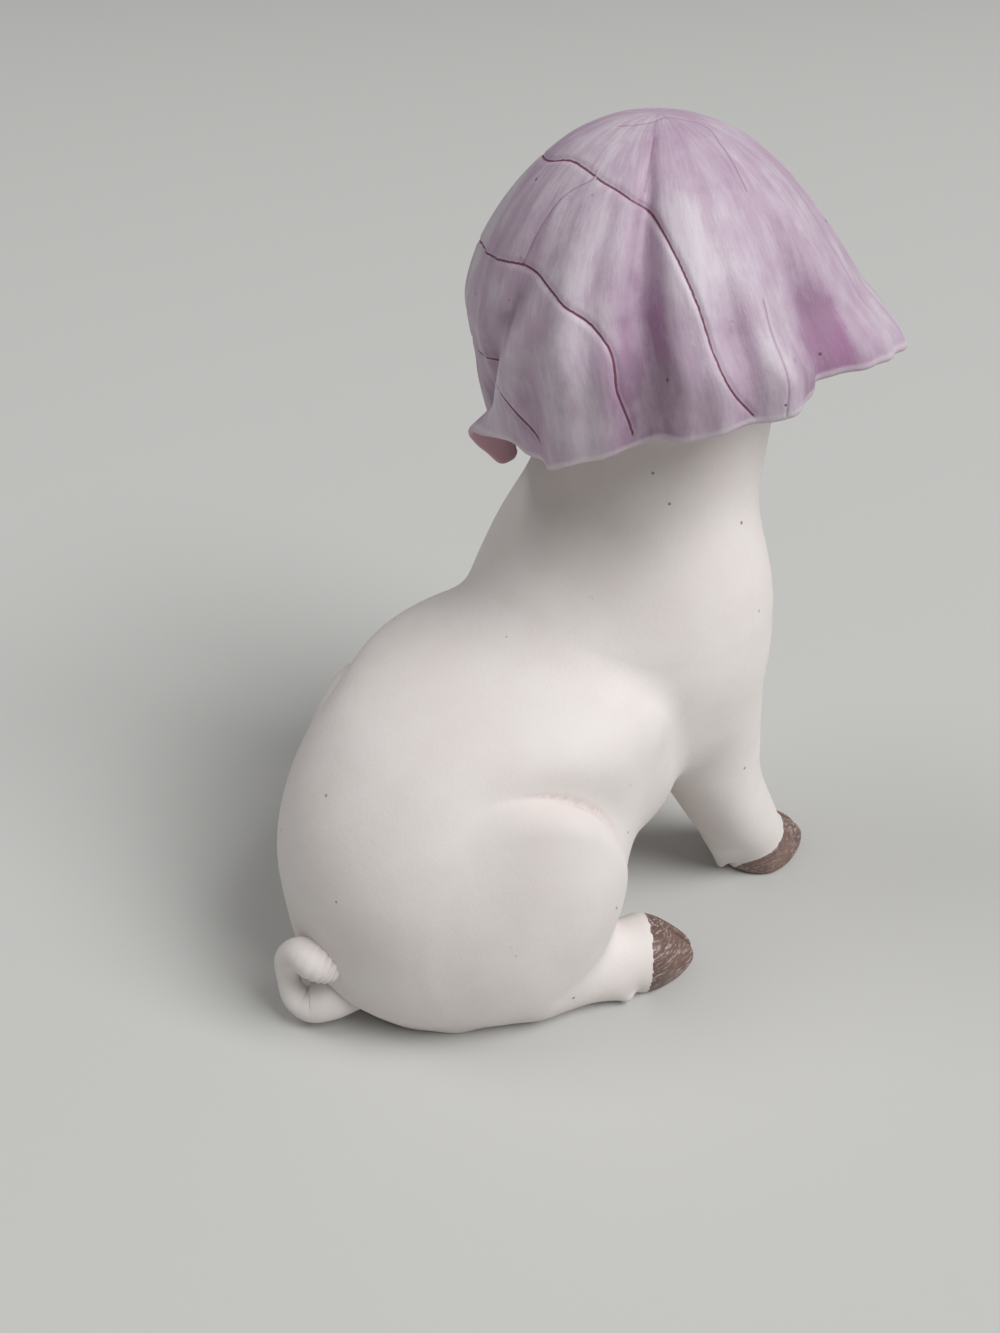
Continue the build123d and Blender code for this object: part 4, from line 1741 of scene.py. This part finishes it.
@dataclass(frozen=True)
class HatPaint(Finish):
    """Lilac washed tones over a pale leaf, brushed from the crown to the rim, with painted highlights on
    the fold ridges and painted shade in the fold valleys.
    """

    pale: Colour = (0.610, 0.540, 0.605)
    middle: Colour = (0.470, 0.350, 0.455)
    # Deep lilac for washed patches and for the painted shade in the fold valleys
    wash: Colour = (0.375, 0.180, 0.330)
    # Greyish painted shade for the fold valleys
    grey_shade: Colour = (0.290, 0.215, 0.280)
    # Dark magenta of the veins, which also paints the shade inside their grooves
    vein: Colour = (0.160, 0.028, 0.085)
    # Pale tone used as painted highlight along the rim and beside the veins
    lip: Colour = (0.700, 0.650, 0.690)
    inside: Colour = (0.460, 0.260, 0.310)
    pit: Colour = (0.130, 0.080, 0.110)
    # Turns of the brush pattern in a millimetre down the leaf
    brush_pace: float = 0.005
    broad: Noise = Noise(7.0, 4.0, 0.65, Ramp(0.3, 0.7))
    fine: Noise = Noise(18.0, 6.0, 0.75, Ramp(0.25, 0.75))
    scuff: Noise = Noise(150.0, 6.0, 0.7, Ramp(0.3, 0.7))
    patch: Noise = Noise(26.0, 3.0, 0.6, Ramp(0.32, 0.68))
    # Patches where the fold valleys take the greyish painted shade
    stain: Noise = Noise(17.0, 2.0, 0.5, Ramp(0.40, 0.62))
    # Broad strokes, fine strokes and scuffs
    stroke_shares: Point = (0.45, 0.30, 0.18)
    # Folds, strokes, patches and clouds; the folds paint highlights on the ridges and shade in the valleys
    tone_shares: tuple[float, float, float, float] = (0.55, 0.75, 0.40, 0.15)
    # Painted light from the folds: pale on the ridges, dark in the valleys
    ridge: Ramp = Ramp(-0.07, 0.05)
    to_middle: Ramp = Ramp(0.40, 0.90)
    to_pale: Ramp = Ramp(0.82, 1.40)
    # Painted highlight along the rim
    rim: Ramp = Ramp(0.3, 1.6, 0.5, 0.0)
    # Painted highlight beside each vein groove
    vein_edge_highlight: Ramp = Ramp(0.35, 1.0, 0.22, 0.0)
    # Dark vein line that also paints the shade inside the groove
    vein_line_shade: Ramp = Ramp(0.18, 0.45, 0.97, 0.0)
    roughness: float = 0.5
    bump: Pair = (0.35, 0.0006)

    def strokes(self, kit: NodeKit, place: Socket) -> Socket:
        """Brushes along the leaf.

        Args:
            kit: Tools of the material's tree.
            place: Object coordinates.

        Returns:
            Lightness of the brush strokes.
        """
        length = kit.math("MULTIPLY", kit.value("length"), self.brush_pace)
        feeds = {"X": kit.value("turn_x"), "Y": kit.value("turn_y"), "Z": length}
        along = kit.add("ShaderNodeCombineXYZ", feeds).outputs["Vector"]
        layers = (self.broad.on(kit, along), self.fine.on(kit, along), self.scuff.on(kit, place))
        return kit.total(list(zip(layers, self.stroke_shares)))

    def washes(self, kit: NodeKit, place: Socket, stroke: Socket) -> Socket:
        """Lays the washed tones, with painted highlights on the ridges and painted shade in the folds.

        Args:
            kit: Tools of the material's tree.
            place: Object coordinates.
            stroke: Lightness of the brush strokes.

        Returns:
            The colour.
        """
        # Painted light: the fold value lightens the ridges and darkens the valleys
        fold = self.ridge.on(kit, kit.value("fold"))
        cloud = kit.shared(self.effects.mottle, place)["Cloud"]
        layers = (fold, stroke, self.patch.on(kit, place), cloud)
        tone = kit.total(list(zip(layers, self.tone_shares)))
        # Painted shade for the valleys, lilac or greyish by patches
        deep = kit.mix(self.stain.on(kit, place), self.wash, self.grey_shade)
        colour = kit.mix(self.to_middle.on(kit, tone), deep, self.middle)
        return kit.mix(self.to_pale.on(kit, tone), colour, self.pale)

    def dress(self, kit: NodeKit, place: Socket) -> Feeds:
        """Paints strokes and washed tones, dark veins with painted shade in their grooves and painted
        highlights beside them, a painted highlight along the rim and a rosy inner face.

        Args:
            kit: Tools of the material's tree.
            place: Object coordinates.

        Returns:
            What goes into the shader.
        """
        stroke = self.strokes(kit, place)
        colour = self.washes(kit, place, stroke)
        # Painted highlight along the rim
        colour = kit.mix(self.rim.on(kit, kit.value("to_rim")), colour, self.lip)
        off = kit.math("ABSOLUTE", kit.value("vein"))
        # Painted highlight beside each vein, then the dark vein line with its painted groove shade
        for ramp, tint in ((self.vein_edge_highlight, self.lip), (self.vein_line_shade, self.vein)):
            line = kit.math("MULTIPLY", ramp.on(kit, off), kit.value("beside"))
            colour = kit.mix(line, colour, tint)
        pits = kit.shared(self.effects.pits, place)["Mask"]
        colour = kit.mix(pits, colour, self.pit)
        colour = kit.mix(kit.value("inner"), colour, self.inside)
        normal = kit.bump(kit.math("SUBTRACT", stroke, pits), *self.bump)
        return {"Base Color": colour, "Roughness": self.roughness, "Normal": normal}


@dataclass(frozen=True)
class HoofPaint(Finish):
    """Brown hoof paint with pale dry brush strokes and painted shade in its hollows."""

    brown: Colour = (0.215, 0.122, 0.098)
    # Dark brown for the cloudy paint and for the painted shade in the hollows
    dark: Colour = (0.115, 0.062, 0.050)
    dry: Colour = (0.620, 0.550, 0.525)
    squash: Point = (1.0, 0.22, 1.6)
    streak: Noise = Noise(1050.0, 6.0, 0.7, Ramp(0.48, 0.66))
    patch: Noise = Noise(130.0, 3.0, 0.6, Ramp(0.34, 0.56))
    dry_share: float = 0.75
    # How strongly the hollows are darkened as painted shade
    hollow: Ramp = Ramp(0.1, 0.6, 0.0, 0.8)
    roughness: float = 0.5
    bump: Pair = (0.3, 0.0004)

    def dress(self, kit: NodeKit, place: Socket) -> Feeds:
        """Paints streaks that run across the hoof and painted shade in the hollows between the claws.

        Args:
            kit: Tools of the material's tree.
            place: Object coordinates.

        Returns:
            What goes into the shader.
        """
        squashed = kit.add("ShaderNodeMapping", {"Vector": place, "Scale": self.squash})
        streak = self.streak.raw(kit, squashed.outputs["Vector"])
        cloud = kit.shared(self.effects.mottle, place)["Cloud"]
        colour = kit.mix(cloud, self.brown, self.dark)
        dry = kit.math("MULTIPLY", self.streak.ramp.on(kit, streak), self.patch.on(kit, place))
        colour = kit.mix(kit.math("MULTIPLY", dry, self.dry_share), colour, self.dry)
        # Painted shade where the crease value marks a hollow
        colour = kit.mix(self.hollow.on(kit, kit.value("crease")), colour, self.dark)
        normal = kit.bump(streak, *self.bump)
        return {"Base Color": colour, "Roughness": self.roughness, "Normal": normal}


@dataclass(frozen=True)
class EyeGloss(Finish):
    """Glossy dark brown eye."""

    dark: Colour = (0.012, 0.008, 0.007)
    warm: Colour = (0.060, 0.030, 0.020)
    roughness: float = 0.12
    coat: float = 0.6

    def dress(self, kit: NodeKit, place: Socket) -> Feeds:
        """Dark gloss with a faint brown cloud."""
        colour = kit.mix(kit.shared(self.effects.mottle, place)["Cloud"], self.dark, self.warm)
        return {"Base Color": colour, "Roughness": self.roughness, "Coat Weight": self.coat}


@dataclass(frozen=True)
class PlainFinish(Finish):
    """Two mottled tones for the pieces that lie underneath or inside."""

    light: Colour
    dark: Colour
    roughness: float
    stretch: Point = (1.0, 1.0, 1.0)
    bump: Pair = (0.2, 0.0002)

    def dress(self, kit: NodeKit, place: Socket) -> Feeds:
        """Paints a mottled tone with a fine grain, stretched where the stuff has a grain.

        Args:
            kit: Tools of the material's tree.
            place: Object coordinates.

        Returns:
            What goes into the shader.
        """
        grain = kit.add("ShaderNodeMapping", {"Vector": place, "Scale": self.stretch})
        mottle = kit.shared(self.effects.mottle, grain.outputs["Vector"])
        colour = kit.mix(mottle["Cloud"], self.light, self.dark)
        normal = kit.bump(mottle["Grain"], *self.bump)
        return {"Base Color": colour, "Roughness": self.roughness, "Normal": normal}


@dataclass(frozen=True)
class Ear:
    """Ear that lies against the head under the hat."""

    side: Side
    at: Point = (36.0, -56.0, 193.0)
    radii: Point = (4.5, 14.0, 17.0)
    rings: int = 28
    segments: int = 40
    hollow: float = 2.2
    hollow_share: float = 0.25
    taper_share: float = 0.35

    def build(self) -> bpy.types.Object:
        """Makes a flattened egg with a hollowed outer face.

        Returns:
            The ear as a closed mesh.
        """
        rows = np.linspace(0, math.pi, self.rings + 1)[1:-1, None]
        turn = np.arange(self.segments)[None] * FULL_TURN / self.segments
        along = np.sin(rows) * np.cos(turn)
        out = np.sin(rows) * np.sin(turn)
        up = np.cos(rows) * np.ones_like(turn)
        dent = self.hollow * np.exp(-(along**2 + up**2) / self.hollow_share) * (out > 0)
        thick, wide, tall = self.radii
        slim = 1 - self.taper_share * up
        grid = np.stack([thick * out - dent, wide * along * slim, tall * up], axis=-1)
        poles = np.array([[0, 0, tall], [0, 0, -tall]])
        points = np.concatenate([grid.reshape(-1, 3), poles]) + np.array(self.at)
        points[:, 0] *= self.side.value
        faces = [(face[0], *face[:0:-1]) for face in ring_faces(len(grid), self.segments)]
        if self.side is Side.RIGHT:
            faces = [face[::-1] for face in faces]
        name = f"{self.side.label}_ear"
        return show(name, smooth_mesh(name, points, faces, {}))


@dataclass(frozen=True)
class Lamp:
    """One square soft lamp, placed and sized in metres."""

    name: str
    at: Point
    size: float
    power: float

    def hang(self, aim: Point) -> None:
        """Hangs the lamp in the scene.

        Args:
            aim: Point that it is turned towards.
        """
        light = bpy.data.lights.new(self.name, "AREA")
        light.energy = self.power
        light.size = self.size
        holder = show(self.name, light)
        holder.location = self.at
        way = Vector(aim) - Vector(self.at)
        holder.rotation_euler = way.to_track_quat("-Z", "Y").to_euler()


@dataclass(frozen=True)
class Studio:
    """Floor, soft light and the camera at the photo's angle."""

    floor_size: float = 6.0
    floor_tone: Colour = (0.56, 0.56, 0.545)
    floor_roughness: float = 0.9
    floor_gloss: float = 0.2
    floor_drop: float = 0.0002
    camera_at: Point = (-266.4, 231.1, 315.0)
    azimuth: float = 230.0
    elevation: float = 32.0
    lens: float = 37.81
    sensor: float = 36.0
    near_clip: float = 0.01
    lamps: tuple[Lamp, ...] = (
        Lamp("softbox", (-5.7, -1.8, 7.1), 5.4, 760.0),
        Lamp("window", (2.9, 3.2, 7.4), 4.0, 135.0),
    )
    lamp_aim: Point = (0.0, 0.0, 0.1)
    sky: Colour = (1.0, 0.995, 0.985)
    sky_strength: float = 0.20

    def floor(self) -> None:
        """Lays a plain pale floor under the object."""
        half = self.floor_size / 2
        mesh = bpy.data.meshes.new("floor")
        corners = [(-half, -half), (half, -half), (half, half), (-half, half)]
        mesh.from_pydata([(*corner, -self.floor_drop) for corner in corners], [], [(0, 1, 2, 3)])
        material = bpy.data.materials.new("floor")
        material.use_nodes = True
        feeds = {
            "Base Color": (*self.floor_tone, 1.0),
            "Roughness": self.floor_roughness,
            "Specular IOR Level": self.floor_gloss,
        }
        NodeKit(material.node_tree).feed(material.node_tree.nodes["Principled BSDF"], feeds)
        mesh.materials.append(material)
        plane = show("floor", mesh)

    def light(self) -> None:
        """Hangs the broad lamps overhead and sets an even sky."""
        for lamp in self.lamps:
            lamp.hang(self.lamp_aim)
        world = bpy.data.worlds.new("studio")
        world.use_nodes = True
        feeds = {"Color": (*self.sky, 1.0), "Strength": self.sky_strength}
        NodeKit(world.node_tree).feed(world.node_tree.nodes["Background"], feeds)
        bpy.context.scene.world = world

    def camera(self) -> None:
        """Sets the camera up at the photo's place."""
        lens = bpy.data.cameras.new("camera")
        lens.lens = self.lens
        lens.sensor_width = self.sensor
        lens.clip_start = self.near_clip
        eye = show("camera", lens)
        eye.location = [value * MM for value in self.camera_at]
        eye.rotation_euler = (math.radians(90 - self.elevation), 0, math.radians(self.azimuth))
        bpy.context.scene.camera = eye

    def build(self) -> None:
        """Sets the whole studio up."""
        self.floor()
        self.light()
        self.camera()
        bpy.context.scene.view_settings.view_transform = "Standard"


@dataclass
class Figurine:
    """The whole ornament: dresses each piece and ties it to the frame."""

    materials: dict[Slot, bpy.types.Material]
    nodes: dict[str, bpy.types.Object]

    def paint(self, piece: bpy.types.Object, slot: Slot) -> None:
        """Gives a piece its only material."""
        piece.data.materials.clear()
        piece.data.materials.append(self.materials[slot])

    def fit(self, piece: bpy.types.Object, slot: Slot, node: str) -> None:
        """Dresses a piece and lets it stand for a CAD node.

        Args:
            piece: The piece.
            slot: Its finish.
            node: Name of the CAD node.
        """
        self.paint(piece, slot)
        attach(piece, ROOT_BODY)
        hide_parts(node)
        LOG.info("%s: %d faces", node, len(piece.data.polygons))

    def keep(self, node: str, slot: Slot) -> None:
        """Dresses a CAD node that is shown as it is."""
        self.paint(self.nodes[node], slot)
        LOG.info("%s: kept from CAD", node)


def make_materials() -> dict[Slot, bpy.types.Material]:
    """Builds the finish of each slot.

    Returns:
        The material of each slot.
    """
    effects = SharedEffects.build()
    finishes = (
        BodyPaint(Slot.BODY, effects),
        HatPaint(Slot.HAT, effects),
        HoofPaint(Slot.HOOF, effects),
        EyeGloss(Slot.EYE, effects),
        PlainFinish(
            Slot.RAW, effects, light=(0.66, 0.62, 0.57), dark=(0.55, 0.51, 0.46), roughness=0.8
        ),
        PlainFinish(
            Slot.RUBBER, effects, light=(0.10, 0.10, 0.105), dark=(0.07, 0.07, 0.072), roughness=0.6
        ),
        PlainFinish(
            Slot.WOOD,
            effects,
            light=(0.55, 0.36, 0.20),
            dark=(0.40, 0.24, 0.12),
            roughness=0.6,
            stretch=(1.0, 1.0, 0.15),
        ),
    )
    return {finish.slot: finish.build() for finish in finishes}


def main() -> None:
    """Builds the figurine round the frame, piece by piece."""
    logging.basicConfig(level=logging.INFO)
    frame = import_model()
    figurine = Figurine(make_materials(), frame["nodes"])
    neck_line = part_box("head")[0][2] / MM
    hat_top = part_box("hat")[1][2] / MM
    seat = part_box("head")[1][2] / MM
    animal = Animal(
        Trunk(tall=neck_line),
        Limbs(),
        Head(seat=seat),
        Recess.around("base_plate"),
        FieldMesher(),
        neck_line,
    )
    for node, surface in animal.pieces().items():
        slot = Slot.HOOF if node.endswith("hoof") else Slot.BODY
        figurine.fit(surface.to_object(f"{node}_skin"), slot, node)
    hat = LeafHat(hat_top, seat).build()
    figurine.fit(hat, Slot.HAT, "hat")
    tail = CurlTail().build(figurine.materials[Slot.BODY])
    figurine.fit(tail, Slot.BODY, "tail")
    for side in Side:
        figurine.fit(Ear(side).build(), Slot.BODY, f"{side.label}_ear")
        figurine.keep(f"{side.label}_eye", Slot.EYE)
    figurine.keep("base_plate", Slot.RAW)
    figurine.keep("base_plug", Slot.RUBBER)
    for node in ("neck_dowel", "hat_pin", "tail_pin", "foreleg_pins", "hind_foot_pins"):
        figurine.keep(node, Slot.WOOD)
    Studio().build()


if __name__ == "__main__":
    main()
